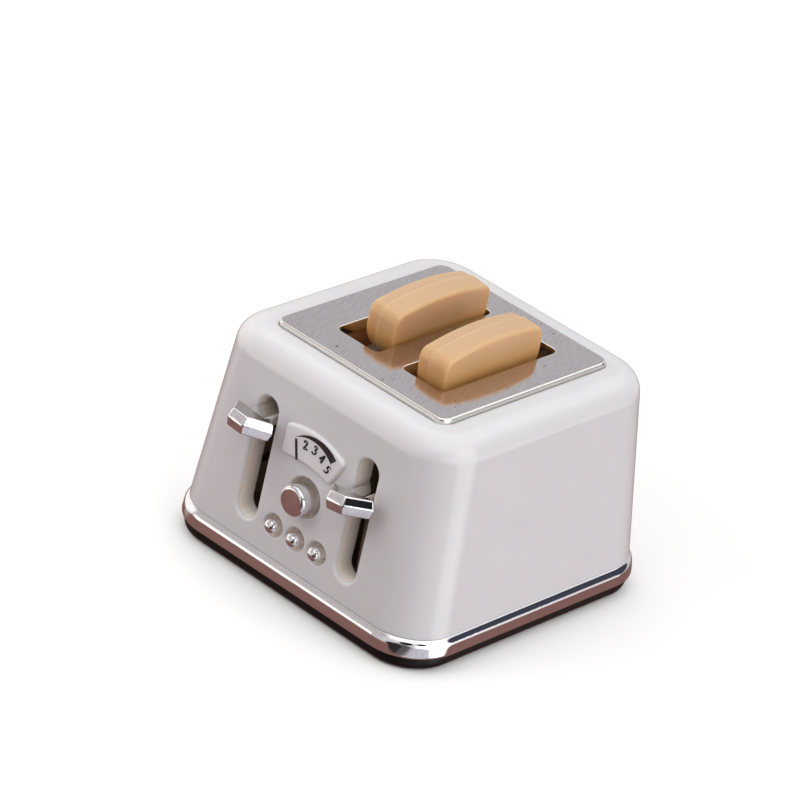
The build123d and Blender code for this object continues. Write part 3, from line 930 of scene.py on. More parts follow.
@dataclass
class Scale:
    """Raised fan-shaped boss above the knob, with its printed arc, pointer and numbers."""

    walls: Walls
    openings: Openings
    rise: float = 0.3
    sink: float = 0.3
    edge: float = 0.24
    corner: float = 0.45
    lower_left: Point = (-3.25, 2.6)
    upper_left: Point = (-3.2, 5.3)
    crown: Point = (0.0, 5.8)
    upper_right: Point = (3.5, 4.8)
    lower_right: Point = (2.4, 2.38)
    hollow: Point = (-0.6, 2.83)
    print_rise: float = 0.012
    arc_tip: Point = (-1.98, 4.58)
    arc_crown: Point = (0.55, 5.52)
    arc_end: Point = (2.62, 4.72)
    arc_inner_end: Point = (2.12, 4.2)
    arc_inner: Point = (0.75, 5.0)
    arc_steps: int = 24
    pointer: Tuple[Point, Point] = ((-1.86, 4.5), (-1.36, 2.83))
    pointer_width: float = 0.26
    digit_height: float = 0.8
    digit_lean: float = 0.12
    pen_thick: float = 0.19
    pen_thin: float = 0.095
    digits: Tuple[Tuple[str, float, float, float], ...] = (
        ("2", -0.82, 4.42, -10.0), ("3", 0.22, 4.5, 3.0), ("4", 1.12, 4.22, 15.0), ("5", 1.88, 3.62, 28.0))

    def axes(self) -> Matrix:
        """Axes at the knob's centre on the front face."""
        return self.walls.front_frame(0.0, self.openings.knob_z)

    def boss(self) -> Solid:
        """Closed raised boss, sunk a little into the front face."""
        places = (self.lower_left, self.lower_right, self.upper_right, self.upper_left)
        outline = soft_outline([(place, self.corner) for place in places], {0: self.hollow, 2: self.crown})
        out = self.axes().inverted()

        def on_top(edge: bmesh.types.BMEdge) -> bool:
            """True for the boss's upper rim."""
            return all(abs((out @ vert.co).z - self.rise) < CLOSE for vert in edge.verts)

        return Solid().prism(outline, -self.sink, self.rise, self.axes()).soften(on_top, self.edge, 6)

    def printed(self, outline: Sequence[Point]) -> Solid:
        """Thin print on the boss."""
        return Solid().prism(outline, self.rise - CLOSE, self.rise + self.print_rise, self.axes())

    def swelling_arc(self) -> Solid:
        """Arc that swells from a point on the left to a square end on the right."""
        outer = Stretch(Vector(self.arc_end), Vector(self.arc_tip), Vector(self.arc_crown))
        inner = Stretch(Vector(self.arc_tip), Vector(self.arc_inner_end), Vector(self.arc_inner))
        shares = [step / self.arc_steps for step in range(self.arc_steps + 1)]
        return self.printed([tuple(outer.at(s)) for s in shares] + [tuple(inner.at(s)) for s in shares[1:]])

    def pointer_mark(self) -> Solid:
        """Straight mark below the arc's tip."""
        top, foot = (Vector(end) for end in self.pointer)
        across = (foot - top).normalized().orthogonal() * self.pointer_width / 2
        corners = (top - across, foot - across, foot + across, top + across)
        return self.printed([tuple(corner) for corner in corners])

    def number(self, text: str, x: float, y: float, lean: float) -> Solid:
        """One leaning number drawn with a broad pen, as thin closed strokes on the boss.

        Args:
            text: The digit.
            x, y: Its middle on the boss.
            lean: Degrees clockwise.

        Returns:
            The strokes.
        """
        place = self.axes() @ shift(x, y, self.rise) @ turn(-lean, "Z")
        solid = Solid()
        for stroke in DIGIT_STROKES[text]:
            path = []
            for u, v in smooth(stroke):
                spot = Vector((u - DIGIT_MIDDLE[0] + self.digit_lean * v, v - DIGIT_MIDDLE[1]))
                path.append(spot * self.digit_height)
            loops = []
            for i, point in enumerate(path):
                along = (path[min(i + 1, len(path) - 1)] - path[max(i - 1, 0)]).normalized()
                width = self.pen_thin + (self.pen_thick - self.pen_thin) * abs(along.y)
                side = along.orthogonal() * width / 2
                near, far, low, high = point - side, point + side, -CLOSE, self.print_rise
                corners = ((near, low), (far, low), (far, high), (near, high))
                loops.append([Vector((*corner, height)) for corner, height in corners])
            solid.loft(loops, place)
        return solid

    def build(self) -> None:
        """Makes the print; the boss itself is part of the housing."""
        marks = {"arc": self.swelling_arc(), "pointer": self.pointer_mark()}
        marks.update((f"number_{digit[0]}", self.number(*digit)) for digit in self.digits)
        for word, solid in marks.items():
            fit(solid.piece(f"scale_{word}", ["ink"]), "case", "black_plastic")


# ---------------------------------------------------------------- top plate


@dataclass
class Cover:
    """Brushed top plate with two bread slots, polished bevels and tabs below."""

    corner: float = 1.0
    thickness: float = 1.0
    bevel: float = 0.18
    slot_bevel: float = 0.1
    slot_width: float = 4.6
    slot_length: float = 13.6
    slot_x: Tuple[float, float] = (-3.5, 3.85)
    slot_y: float = 0.3
    slot_corner: float = 0.6
    slots_reach: Point = (7.5, 8.2)
    tab: float = 0.9
    tab_inset: float = 1.1

    def __post_init__(self) -> None:
        """Takes the plate's box from the frame."""
        self.low, self.high = node_box("top_plate")
        self.bottom = self.high.z - self.thickness

    def slots(self, low: float, high: float, margin: float, corner: float, steps: int) -> Solid:
        """Prisms on the two slots.

        Args:
            low, high: Heights of their ends.
            margin: Added all round.
            corner: Corner radius.
            steps: Segments in each corner.

        Returns:
            Both prisms.
        """
        solid = Solid()
        half, reach = self.slot_width / 2 + margin, self.slot_length / 2 + margin
        near, far = self.slot_y - reach, self.slot_y + reach
        for x in self.slot_x:
            solid.prism(round_rectangle(x - half, x + half, near, far, corner, steps), low, high)
        return solid

    def tabs(self, solid: Solid, width: float, low: float, high: float, finish: int = 0) -> Solid:
        """Adds square prisms at the places of the plate's four tabs."""
        for x in (self.low.x + self.tab_inset, self.high.x - self.tab_inset):
            for y in (self.low.y + self.tab_inset, self.high.y - self.tab_inset):
                solid.prism(square(width), low, high, shift(x, y), finish)
        return solid

    def rim(self, outer: bool) -> Choice:
        """Choice of the top face's outer edge, or of the slots' edges."""

        def chosen(edge: bmesh.types.BMEdge) -> bool:
            """True for a sharp edge of the top face."""
            x, y = (max(abs(vert.co[axis]) for vert in edge.verts) for axis in range(2))
            far = x > self.slots_reach[0] or y > self.slots_reach[1]
            return level(edge, self.high.z) and far == outer and bent(edge, 60)

        return chosen

    def build(self) -> None:
        """Makes the plate."""
        low, high = self.low, self.high
        outline = round_rectangle(low.x, high.x, low.y, high.y, self.corner, 12)
        plate = Solid().prism(outline, self.bottom, high.z)
        slots = self.slots(self.bottom - NEAR, high.z + NEAR, 0.0, self.slot_corner, 8)
        plate.join(slots, Join.CUT)
        plate.soften(self.rim(True), self.bevel, 3, finish=1)
        plate.soften(self.rim(False), self.slot_bevel, 2, finish=1)
        for face in plate.mesh.faces:
            if abs(face.normal.z) < 0.5:
                face.material_index = 1
        self.tabs(plate, self.tab, low.z, self.bottom, finish=1)
        fit(plate.piece("top_cover", ["nickel", "polished"], 30.0), "case", "brushed_plate", "top_plate")


# ---------------------------------------------------------------- housing, bead and tray


@dataclass
class Housing:
    """White housing: drafted walls, soft roof edge, recess, slots, pockets and inner columns."""

    walls: Walls
    openings: Openings
    cover: Cover
    scale: Scale
    roundover: float = 2.1
    roof_steps: int = 14
    roof_wall: float = 1.5
    recess_gap: float = 0.04
    recess_corner: float = 1.04
    recess_rim: float = 0.12
    recess_reach: Point = (9.6, 9.95)
    rim_depth: float = 0.3
    well_margin: float = 0.82
    well_corner: float = 0.05
    tab_hole: float = 1.0
    column_inset: float = 4.2
    column_diameter: float = 2.5
    column_foot: float = 2.4
    column_overlap: float = 0.3
    pilot_diameter: float = 1.04
    pilot: Tuple[float, float] = (1.4, 6.92)
    cut_depth: float = 3.0
    stake_z: float = 7.35
    stake_spacing: float = 2.6
    stake_width: float = 0.55
    stake_seat: float = 1.0
    seat_depth: float = 2.65
    stake_depth: float = 3.25
    stake_overlap: float = 0.05

    def __post_init__(self) -> None:
        """Takes the heights from the frame."""
        self.top = node_box("shell")[1].z
        self.ceiling = self.top - self.roof_wall

    def skin(self) -> Solid:
        """Closed outer form."""
        lean = radians((self.walls.side_draft + self.walls.front_draft) / 2)
        loops = [self.walls.section(self.walls.low)]
        for step in range(self.roof_steps + 1):
            angle = lean + (pi / 2 - lean) * step / self.roof_steps
            loops.append(self.walls.roof_section(self.top, self.roundover, angle))
        return Solid().loft(loops)

    def carve_roof(self, body: Solid) -> None:
        """Cuts the recess for the plate, softens its rim and cuts the openings below it."""
        gap = Vector((self.recess_gap, self.recess_gap, 0.0))
        low, high = self.cover.low - gap, self.cover.high + gap
        outline = round_rectangle(low.x, high.x, low.y, high.y, self.recess_corner, 10)
        body.cut(outline, self.cover.bottom, high.z + NEAR)
        x, y = self.recess_reach

        def edge_of_recess(edge: bmesh.types.BMEdge) -> bool:
            """True for the recess's rim in the roof."""
            inside = all(abs(vert.co.x) < x and abs(vert.co.y) < y for vert in edge.verts)
            return inside and level(edge, self.top) and bent(edge, 40)

        body.soften(edge_of_recess, self.recess_rim, 3)
        floor, bottom = self.ceiling - NEAR, self.cover.bottom
        wells = self.cover.slots(floor, bottom + NEAR, self.well_margin, self.well_corner, 1)
        body.join(wells, Join.CUT)
        body.join(self.cover.tabs(Solid(), self.tab_hole, floor, bottom + NEAR / 2), Join.CUT)

    def rim(self, x: float, z: float, half_wide: float, half_high: float) -> Choice:
        """Choice of the sharp edges round one opening of the front face.

        Args:
            x, z: The opening's middle.
            half_wide, half_high: Half the box that holds its edges.

        Returns:
            The choice.
        """
        out = self.walls.front_frame(x, z).inverted()

        def chosen(edge: bmesh.types.BMEdge) -> bool:
            """True where an edge lies in the front face, inside the opening's box."""
            ends = [out @ vert.co for vert in edge.verts]
            inside = all(abs(p.z) < CLOSE and abs(p.x) < half_wide and abs(p.y) < half_high for p in ends)
            return inside and bent(edge, 40)

        return chosen

    def carve_front(self, body: Solid) -> None:
        """Cuts the lever slots and round pockets and softens their rims."""
        o, front = self.openings, self.walls.front_frame
        middle, height = (o.slot_high + o.slot_low) / 2, o.slot_high - o.slot_low
        outline = stadium(o.slot_width, height / cos(radians(self.walls.front_draft)))
        slots = Solid()
        for side in Side:
            slots.prism(outline, -self.cut_depth, NEAR, front(o.lever_x(side), middle))
        body.join(slots, Join.CUT)
        for side in Side:
            body.soften(self.rim(o.lever_x(side), middle, o.slot_width, height), o.slot_rim, 5)
        pockets, bores = Solid(), Solid()
        for x, z, pocket, bore in o.pockets():
            pockets.prism(circle(pocket, 56), -o.pocket_depth, NEAR, front(x, z))
            bores.prism(circle(bore, 40), -self.cut_depth, -o.pocket_depth / 2, front(x, z))
        body.join(pockets, Join.CUT)
        for x, z, pocket, _ in o.pockets():
            reach = pocket / 2 + CLOSE
            body.soften(self.rim(x, z, reach, reach), o.pocket_rim, 4)
        body.join(bores, Join.CUT)

    def add_fittings(self, body: Solid) -> None:
        """Adds screw columns and spring stakes inside."""
        column, pilot = circle(self.column_diameter, 40), circle(self.pilot_diameter, 32)
        for side in Side:
            place = shift(side.value * (self.walls.width / 2 - self.column_inset))
            body.fuse(column, self.column_foot, self.ceiling + self.column_overlap, place)
            body.cut(pilot, *self.pilot, place)
        seat, stake = square(self.stake_seat), square(self.stake_width)
        for side in Side:
            place = self.walls.front_frame(side.value * self.stake_spacing / 2, self.stake_z)
            body.prism(seat, -self.seat_depth, -self.walls.front_wall / 2, place)
            body.prism(stake, -self.stake_depth, self.stake_overlap - self.seat_depth, place)

    def color_faces(self, body: Solid) -> None:
        """Marks the scale's boss, and the walls inside the openings, which get painted light: a brighter,
        warmer copy of the white plastic.
        """
        out = self.scale.axes().inverted()
        reach = self.openings.lever_x(Side.RIGHT) + self.openings.slot_width / 2 + CLOSE
        for face in body.mesh.faces:
            middle = face.calc_center_median()
            depth = middle.y - self.walls.front_y(middle.z)
            inside = self.rim_depth < depth < self.walls.front_wall - CLOSE
            inside = inside and middle.z < self.openings.slot_high and abs(middle.x) < reach
            raised = (out @ middle).z > 5 * CLOSE
            # Walls inside the openings take the copy with painted light.
            face.material_index = 1 if raised else 2 * int(inside)

    def build(self) -> None:
        """Makes the housing in white plastic."""
        hollow = Solid().loft([self.walls.inner(z) for z in (self.walls.low - NEAR, self.ceiling)])
        body = self.skin().join(hollow, Join.CUT)
        self.carve_roof(body)
        self.carve_front(body)
        self.add_fittings(body)
        body.join(self.scale.boss(), Join.FUSE)
        self.color_faces(body)
        fit(body.piece("housing", ["white", "panel", "painted_recess_light"], 50.0), "case", "white_plastic", "shell")


@dataclass
class Bead:
    """Chrome bead round the foot of the housing."""

    walls: Walls
    bulge: float = 0.27
    swell: float = 0.75
    upper_radius: float = 0.75
    lower_radius: float = 0.3
    drop: float = 0.42
    steps: int = 10

    def build(self) -> None:
        """Makes the bead as a closed ring."""
        low, high = (corner.z for corner in node_box("trim_ring"))
        low -= self.drop
        rounds = ((low + self.lower_radius, self.lower_radius, -pi / 2),
                  (high - self.upper_radius, self.upper_radius, 0.0))
        loops = [self.walls.inner(low)]
        for centre, radius, start in rounds:
            for angle in quarter(self.steps, start):
                outset = self.bulge - radius * self.swell * (1 - cos(angle))
                loops.append(self.walls.section(centre + radius * sin(angle), -outset))
        loops.append(self.walls.inner(high))
        piece = Solid().loft(loops, ring=True).piece("foot_bead", ["chrome"], 60.0)
        fit(piece, "case", "chrome_plating", "trim_ring")


@dataclass
class Tray:
    """Black foot tray with its locating lip, screw pads and post sockets."""

    walls: Walls
    bead: Bead
    inset: float = 0.12
    edge: float = 0.8
    floor: float = 1.2
    lip_gap: float = 0.06
    lip: float = 0.8
    pad: float = 3.2
    pad_foot: float = 0.6
    pad_top: float = 2.4
    socket: float = 2.2
    socket_top: float = 2.7
    post: float = 1.0
    post_top: float = 4.0
    post_spacing: float = 4.8
    post_y: float = -9.3
    recess: float = 2.24
    recess_depth: float = 0.9
    screw_bore: float = 1.24
    screw_reach: Tuple[float, float] = (0.5, 3.0)
    screw_x: float = 10.0
    steps: int = 7

    def dish(self) -> Solid:
        """Tray with its round lower edge and lip."""
        walls, lip_top = self.walls, node_box("base")[1].z
        rim = node_box("trim_ring")[0].z - self.bead.drop
        loops = []
        for angle in quarter(self.steps):
            drawn = self.inset + self.edge * (1 - sin(angle))
            loops.append(walls.section(self.edge * (1 - cos(angle)), drawn))
        loops.append(walls.section(rim, self.inset))
        outer, inner = self.lip_gap, self.lip_gap + self.lip
        loops += [walls.inner(z, gap) for z, gap in ((rim, outer), (lip_top, outer), (lip_top, inner))]
        return Solid().loft([*loops, walls.inner(self.floor, inner)])

    def build(self) -> None:
        """Makes the tray."""
        tray = self.dish()
        for side in Side:
            pad = shift(side.value * self.screw_x)
            post = shift(side.value * self.post_spacing / 2, self.post_y)
            tray.fuse(square(self.pad), self.pad_foot, self.pad_top, pad)
            tray.fuse(square(self.socket), self.pad_foot, self.socket_top, post)
            tray.cut(circle(self.recess, 48), -NEAR, self.recess_depth, pad)
            tray.cut(circle(self.screw_bore, 32), *self.screw_reach, pad)
            tray.cut(circle(self.post, 32), self.floor, self.post_top, post)
        walls, gap = self.walls, self.lip_gap + self.walls.side_wall
        half, far = walls.width / 2 - gap, walls.back - gap
        near = self.lip_gap + walls.front_wall - walls.front
        # The tray's inner faces take the lighter copy with painted light.
        for face in tray.mesh.faces:
            x, y, z = face.calc_center_median()
            face.material_index = int(abs(x) < half and near < y < far and z > self.floor - CLOSE)
        fit(tray.piece("foot_tray", ["black", "painted_inside_light"]), "case", "black_plastic", "base")


# ---------------------------------------------------------------- levers


@dataclass
class Lever:
    """Chrome lever: faceted finger bar, flared neck and barbed tang."""

    side: Side
    place: Tuple[float, float, float]
    yaw: float
    roll: float
    pitch: float = -13.2
    front_width: float = 1.6
    facet: float = 2.33
    facet_angle: float = 53.0
    height: float = 1.57
    ridge: float = 0.215
    flare: float = 1.0
    flare_steps: int = 12
    neck_height: float = 1.16
    tang_width: float = 1.8
    tang_height: float = 1.1
    tang_edge: float = 0.2
    barb: float = 0.4
    barb_length: float = 0.6
    slit_width: float = 0.4
    slit_length: float = 2.2
    softness: float = 0.13
    level_normal: float = 0.9

    def plan(self, outset: float) -> List[Point]:
        """Plan of the finger bar with its front facets moved outwards, anticlockwise."""
        angle = radians(self.facet_angle)
        front = -self.facet * sin(angle) - outset
        half_front = self.front_width / 2 + outset * tan(angle / 2)
        half_back = self.front_width / 2 + self.facet * cos(angle) + outset / sin(angle)
        return [(half_back, 0), (-half_back, 0), (-half_front, front), (half_front, front)]

    def bar(self) -> Solid:
        """Finger bar with a ridge round its middle and softened edges."""
        half = self.height / 2
        levels = ((-half, 0.0), (0.0, self.ridge), (half, 0.0))
        solid = Solid().loft([placed(self.plan(outset), z) for z, outset in levels])
        return solid.soften(lambda edge: bent(edge, 20), self.softness, 4)

    def neck_plan(self) -> List[Point]:
        """Plan of the flared neck behind the bar, anticlockwise."""
        half, radius = self.tang_width / 2, self.flare
        right = [(half + radius - radius * sin(angle), radius - radius * cos(angle))
                 for angle in quarter(self.flare_steps)]
        return right + [(-x, y) for x, y in right[::-1]]

    def tang(self, reach: float) -> Solid:
        """Tang with a barbed, slit end."""
        half, high = self.tang_width / 2, self.tang_height / 2
        outline = round_rectangle(-half, half, -high, high, self.tang_edge, 4)
        along = Matrix(((1, 0, 0, 0), (0, 0, 1, 0), (0, -1, 0, 0), (0, 0, 0, 1)))
        back, barb = reach - self.barb_length, self.barb
        hook = [(half + barb, back), (half - barb, reach), (barb - half, reach), (-half - barb, back)]
        high -= self.tang_edge
        slit = rectangle(self.slit_width, 2 * self.slit_length)
        solid = Solid().prism(outline, 0.0, reach, along).fuse(hook, -high, high)
        return solid.cut(slit, -self.tang_width, self.tang_width, shift(y=reach))

    def build(self) -> None:
        """Makes the lever in its place."""
        word = self.side.word
        half = self.neck_height / 2
        solid = self.bar().fuse(self.neck_plan(), -half, half)
        solid.mesh.normal_update()
        # Top and back faces take the darker plating, a painted reflection of the shaded wall above the lever.
        for face in solid.mesh.faces:
            behind = face.calc_center_median().y > -self.softness / 2
            face.material_index = int(face.normal.z > self.level_normal or behind)
        solid.moved(turn(self.pitch, "X") @ turn(self.yaw, "Z"))
        solid.join(self.tang(node_box(f"{word}_lever")[1].y - self.place[1]), Join.FUSE)
        solid.moved(shift(*self.place) @ turn(self.roll, "Y"))
        piece = solid.piece(f"{word}_lever_knob", ["lumpy", "thin"], 28.0)
        fit(piece, f"{word}_lever_group", "chrome_plating", f"{word}_lever")


# ---------------------------------------------------------------- slices


@dataclass
class Slice:
    """Loose slice with an arched top, a parting line and lightly softened edges."""

    side: Side
    x: float
    y: float
    yaw: float
    tilt: float
    roll: float
    thickness: float = 3.17
    length: float = 11.5
    height: float = 5.7
    arch: float = 0.65
    shoulder: float = 1.1
    heel: float = 3.2
    edge: float = 0.26
    edge_steps: int = 4
    parting: float = 0.42
    draft: float = 3.0
    ledge: float = 0.07
    flash: float = 0.012
    flash_width: float = 0.09

    def outline(self) -> List[Point]:
        """Side view of the slice, anticlockwise, with length along X."""
        half, shoulder = self.length / 2, self.height - self.arch
        corners = [((-half, 0.0), self.heel), ((half, 0.0), self.heel)]
        corners += [((half, shoulder), self.shoulder), ((-half, shoulder), self.shoulder)]
        return soft_outline(corners, {2: (0.0, self.height)}, 12)

    def sections(self) -> List[Point]:
        """Place across the thickness and inset of each section."""
        half, lean = self.thickness / 2, tan(radians(self.draft))
        middle = -half + self.thickness * self.parting
        angles = quarter(self.edge_steps)
        rows = []
        for angle in angles:
            across = -half + self.edge * (1 - cos(angle))
            rows.append((across, self.edge * (1 - sin(angle)) + (middle - across) * lean + self.ledge))
        foot, crest = self.flash_width / 2, self.flash_width / 4
        rows += [(middle - foot, self.ledge), (middle - crest, -self.flash), (middle + crest, -self.flash)]
        rows.append((middle + foot, 0.0))
        for angle in angles[::-1]:
            across = half - self.edge * (1 - cos(angle))
            rows.append((across, self.edge * (1 - sin(angle)) + (across - middle) * lean))
        return rows

    def build(self) -> None:
        """Makes the slice where it stands on its carriage."""
        word, flat = self.side.word, self.outline()
        loops = []
        for across, inset in self.sections():
            loops.append([Vector((across, y, z)) for y, z in drawn_in(flat, inset)])
        stance = turn(self.roll, "Y") @ turn(self.tilt, "X") @ turn(self.yaw, "Z")
        solid = Solid().loft(loops, stance)
        back, middle = stance.inverted(), self.thickness * (self.parting - 0.5)
        # Faces on the mould line take the lighter finish, a painted highlight.
        for face in solid.mesh.faces:
            across = (back @ face.calc_center_median()).x - middle
            face.material_index = int(abs(across) < self.flash_width / 2 and len(face.verts) == 4)
        low = min(vert.co.z for vert in solid.mesh.verts)
        solid.moved(shift(self.x, self.y, node_box(f"{word}_toast")[0].z - low))
        piece = solid.piece(f"{word}_slice_of_toast", ["toast", "flash"], 30.0)
        fit(piece, f"{word}_slice", "toast_plastic", f"{word}_toast")


# ---------------------------------------------------------------- knob and buttons


@dataclass
class Knob:
    """Chrome browning knob on its shaft."""

    walls: Walls
    openings: Openings
    diameter: float = 2.64
    proud: float = 1.5
    seat: float = -0.85
    rim: float = 0.34
    back_bevel: float = 0.04
    shaft: float = 1.2
    shaft_end: float = -2.9
    shaft_bevel: float = 0.1

    def build(self) -> None:
        """Makes the knob as one turned form."""
        radius, shaft, small, slope = self.diameter / 2, self.shaft / 2, self.back_bevel, self.shaft_bevel
        profile = [(shaft - slope, self.shaft_end), (shaft, self.shaft_end + slope), (shaft, self.seat)]
        profile += [(radius - small, self.seat), (radius, self.seat + small)]
        for angle in quarter(8):
            profile.append((radius - self.rim * (1 - cos(angle)), self.proud - self.rim * (1 - sin(angle))))
        profile.append((0.0, self.proud))
        solid = Solid().turned(profile, self.walls.front_frame(0.0, self.openings.knob_z), 96)
        piece = solid.piece("browning_control", ["chrome"], 50.0)
        fit(piece, "knob_group", "chrome_plating", "browning_knob")


@dataclass
class Button:
    """Round-ended chrome push button with a square flange behind the wall."""

    walls: Walls
    openings: Openings
    word: str
    x: float
    diameter: float = 1.14
    proud: float = 0.72
    crown: float = 0.3
    crown_steps: int = 12
    flange: float = 1.7
    flange_thickness: float = 0.3

    def build(self) -> None:
        """Makes the button."""
        radius, wall = self.diameter / 2, self.walls.front_wall
        foot = -wall - self.flange_thickness
        ball = (radius ** 2 + self.crown ** 2) / (2 * self.crown)
        reach = asin(radius / ball)
        profile = [(radius, foot)]
        for step in range(self.crown_steps):
            angle = reach * (1 - step / self.crown_steps)
            profile.append((ball * sin(angle), self.proud - ball + ball * cos(angle)))
        profile.append((0.0, self.proud))
        place = self.walls.front_frame(self.x, self.openings.button_z)
        solid = Solid().turned(profile, place, 48).prism(square(self.flange), foot, -wall, place)
        piece = solid.piece(f"{self.word}_push_button", ["chrome"], 50.0)
        fit(piece, f"{self.word}_button_group", "chrome_plating", f"{self.word}_button")


# ---------------------------------------------------------------- fasteners by Geometry Nodes


class Grower(Tree):
    """Geometry Nodes tree with named size inputs that ends in Realize Instances and Set Material."""

    def __init__(self, name: str) -> None:
        """Starts a tree with its geometry sockets."""
        super().__init__(bpy.data.node_groups.new(name, "GeometryNodeTree"))
        for way in ("INPUT", "OUTPUT"):
            self.tree.interface.new_socket(name="Geometry", in_out=way, socket_type="NodeSocketGeometry")
        self.entry = self.add("NodeGroupInput")
        self.values: Dict[str, object] = {}

    def setting(self, name: str, value: object, kind: str = "NodeSocketFloat") -> Socket:
        """Named input of the tree, with the value that it runs with."""
        socket = self.tree.interface.new_socket(name=name, in_out="INPUT", socket_type=kind)
        self.values[socket.identifier] = value
        return self.entry.outputs[name]

    def size(self, name: str, length: float) -> Socket:
        """Named length, given in millimetres."""
        return self.setting(name, length * MM)

    def spot(self, name: str, x: float, y: float, z: float) -> Socket:
        """Named vector, given in millimetres."""
        return self.setting(name, (x * MM, y * MM, z * MM), "NodeSocketVector")

    def vector(self, x: object = 0.0, y: object = 0.0, z: object = 0.0) -> Socket:
        """Vector made of sockets or numbers."""
        return self.feed(self.add("ShaderNodeCombineXYZ"), X=x, Y=y, Z=z).outputs[0]

    def product(self, source: Socket, factor: float) -> Socket:
        """Source times a number."""
        node = self.add("ShaderNodeMath", operation="MULTIPLY")
        self.put(node.inputs[0], source)
        self.put(node.inputs[1], factor)
        return node.outputs[0]

    def rod(self, diameter: Socket, length: Socket, steps: int = 40) -> Socket:
        """Cylinder standing on its origin."""
        made = self.feed(self.add("GeometryNodeMeshCylinder"), Vertices=steps,
                         Radius=self.product(diameter, 0.5), Depth=length)
        return self.moved(made.outputs["Mesh"], self.vector(z=self.product(length, 0.5)))

    def slab(self, width: object, depth: object, height: Socket) -> Socket:
        """Box standing on its origin."""
        made = self.feed(self.add("GeometryNodeMeshCube"), Size=self.vector(width, depth, height))
        return self.moved(made.outputs["Mesh"], self.vector(z=self.product(height, 0.5)))

    def moved(self, shape: Socket, offset: Socket) -> Socket:
        """Shape moved by an offset."""
        node = self.feed(self.add("GeometryNodeTransform"), Geometry=shape, Translation=offset)
        return node.outputs["Geometry"]

    def combined(self, kind: Join, first: Socket, *others: Socket) -> Socket:
        """Shapes cut or fused."""
        node = self.add("GeometryNodeMeshBoolean", operation=kind.value, solver="EXACT")
        self.put(node.inputs["Mesh 1" if kind is Join.CUT else "Mesh 2"], first)
        for other in others:
            self.put(node.inputs["Mesh 2"], other)
        return node.outputs["Mesh"]

    def grow(self, name: str, points: Socket, shape: Socket, finish: str) -> bpy.types.Object:
        """Puts a shape on every point and runs the tree.

        Args:
            name: The piece's name.
            points: Where the shapes go.
            shape: What goes there.
            finish: Key of the piece's finish.

        Returns:
            The result as a plain mesh object, with no modifier left.
        """
        spots = self.feed(self.add("GeometryNodeInstanceOnPoints"), Points=points, Instance=shape)
        real = self.feed(self.add("GeometryNodeRealizeInstances"), Geometry=spots.outputs["Instances"])
        coat = self.feed(self.add("GeometryNodeSetMaterial"), Geometry=real.outputs["Geometry"],
                         Material=self.setting("Finish", material(finish), "NodeSocketMaterial"))
        self.put(self.add("NodeGroupOutput").inputs[0], coat.outputs["Geometry"])
        thing = linked(name, bpy.data.meshes.new(name))
        change = thing.modifiers.new(name, "NODES")
        change.node_group = self.tree
        for identifier, value in self.values.items():
            change[identifier] = value
        settled(thing).data.set_sharp_from_angle(angle=radians(35))
        return thing


@dataclass
class Screws:
    """Case screws below the tray, with a cross recess and a thread."""

    head: float = 2.0
    head_height: float = 0.6
    shank: float = 0.86
    thread: float = 1.0
    thread_root: float = 0.48
    thread_start: float = 1.2
    plain_length: float = 1.6
    pitch: float = 0.4
    drive: float = 1.2
    drive_width: float = 0.26
    drive_depth: float = 0.3

    def thread_on(self, grower: Grower, shank: Socket, length: float) -> Socket:
        """Raised helix round a shank."""
        radius = grower.product(shank, self.thread_root)
        helix = grower.feed(grower.add("GeometryNodeCurveSpiral"), Resolution=20, Start_Radius=radius,
                            End_Radius=radius, Rotations=grower.setting("Turns", length / self.pitch),
                            Height=grower.size("Thread Length", length))
        profile = grower.feed(grower.add("GeometryNodeCurvePrimitiveCircle"), Resolution=4,
                              Radius=grower.size("Thread Size", (self.thread - self.shank) / 2))
        ribbon = grower.feed(grower.add("GeometryNodeCurveToMesh"), Curve=helix.outputs["Curve"],
                             Profile_Curve=profile.outputs["Curve"], Fill_Caps=True)
        start = grower.size("Thread Start", self.thread_start)
        return grower.moved(ribbon.outputs["Mesh"], grower.vector(z=start))

    def build(self) -> None:
        """Grows a row of two screws where the frame has them."""
        low, high = node_box("base_screws")
        left, length = low.x + self.head / 2, high.z - low.z
        grower = Grower("case_screw_row")
        lengths = {
            "Head Diameter": self.head, "Head Height": self.head_height, "Shank Diameter": self.shank,
            "Length": length, "Drive Length": self.drive, "Drive Width": self.drive_width,
            "Drive Depth": self.drive_depth,
        }
        sizes = [grower.size(*pair) for pair in lengths.items()]
        head, head_height, shank, whole, drive, width, depth = sizes
        blank = grower.combined(Join.FUSE, grower.rod(head, head_height), grower.rod(shank, whole))
        cross = [grower.slab(drive, width, depth), grower.slab(width, drive, depth)]
        both = grower.add("GeometryNodeJoinGeometry")
        grower.put(both.inputs[0], grower.combined(Join.CUT, blank, *cross))
        grower.put(both.inputs[0], self.thread_on(grower, shank, length - self.plain_length))
        row = grower.feed(grower.add("GeometryNodeMeshLine"), Count=2,
                          Start_Location=grower.spot("Start", left, 0.0, low.z),
                          Offset=grower.spot("Step", -2 * left, 0.0, 0.0))
        piece = grower.grow("case_screws", row.outputs["Mesh"], both.outputs["Geometry"], "steel")
        fit(piece, "case", "plain_steel", "base_screws")


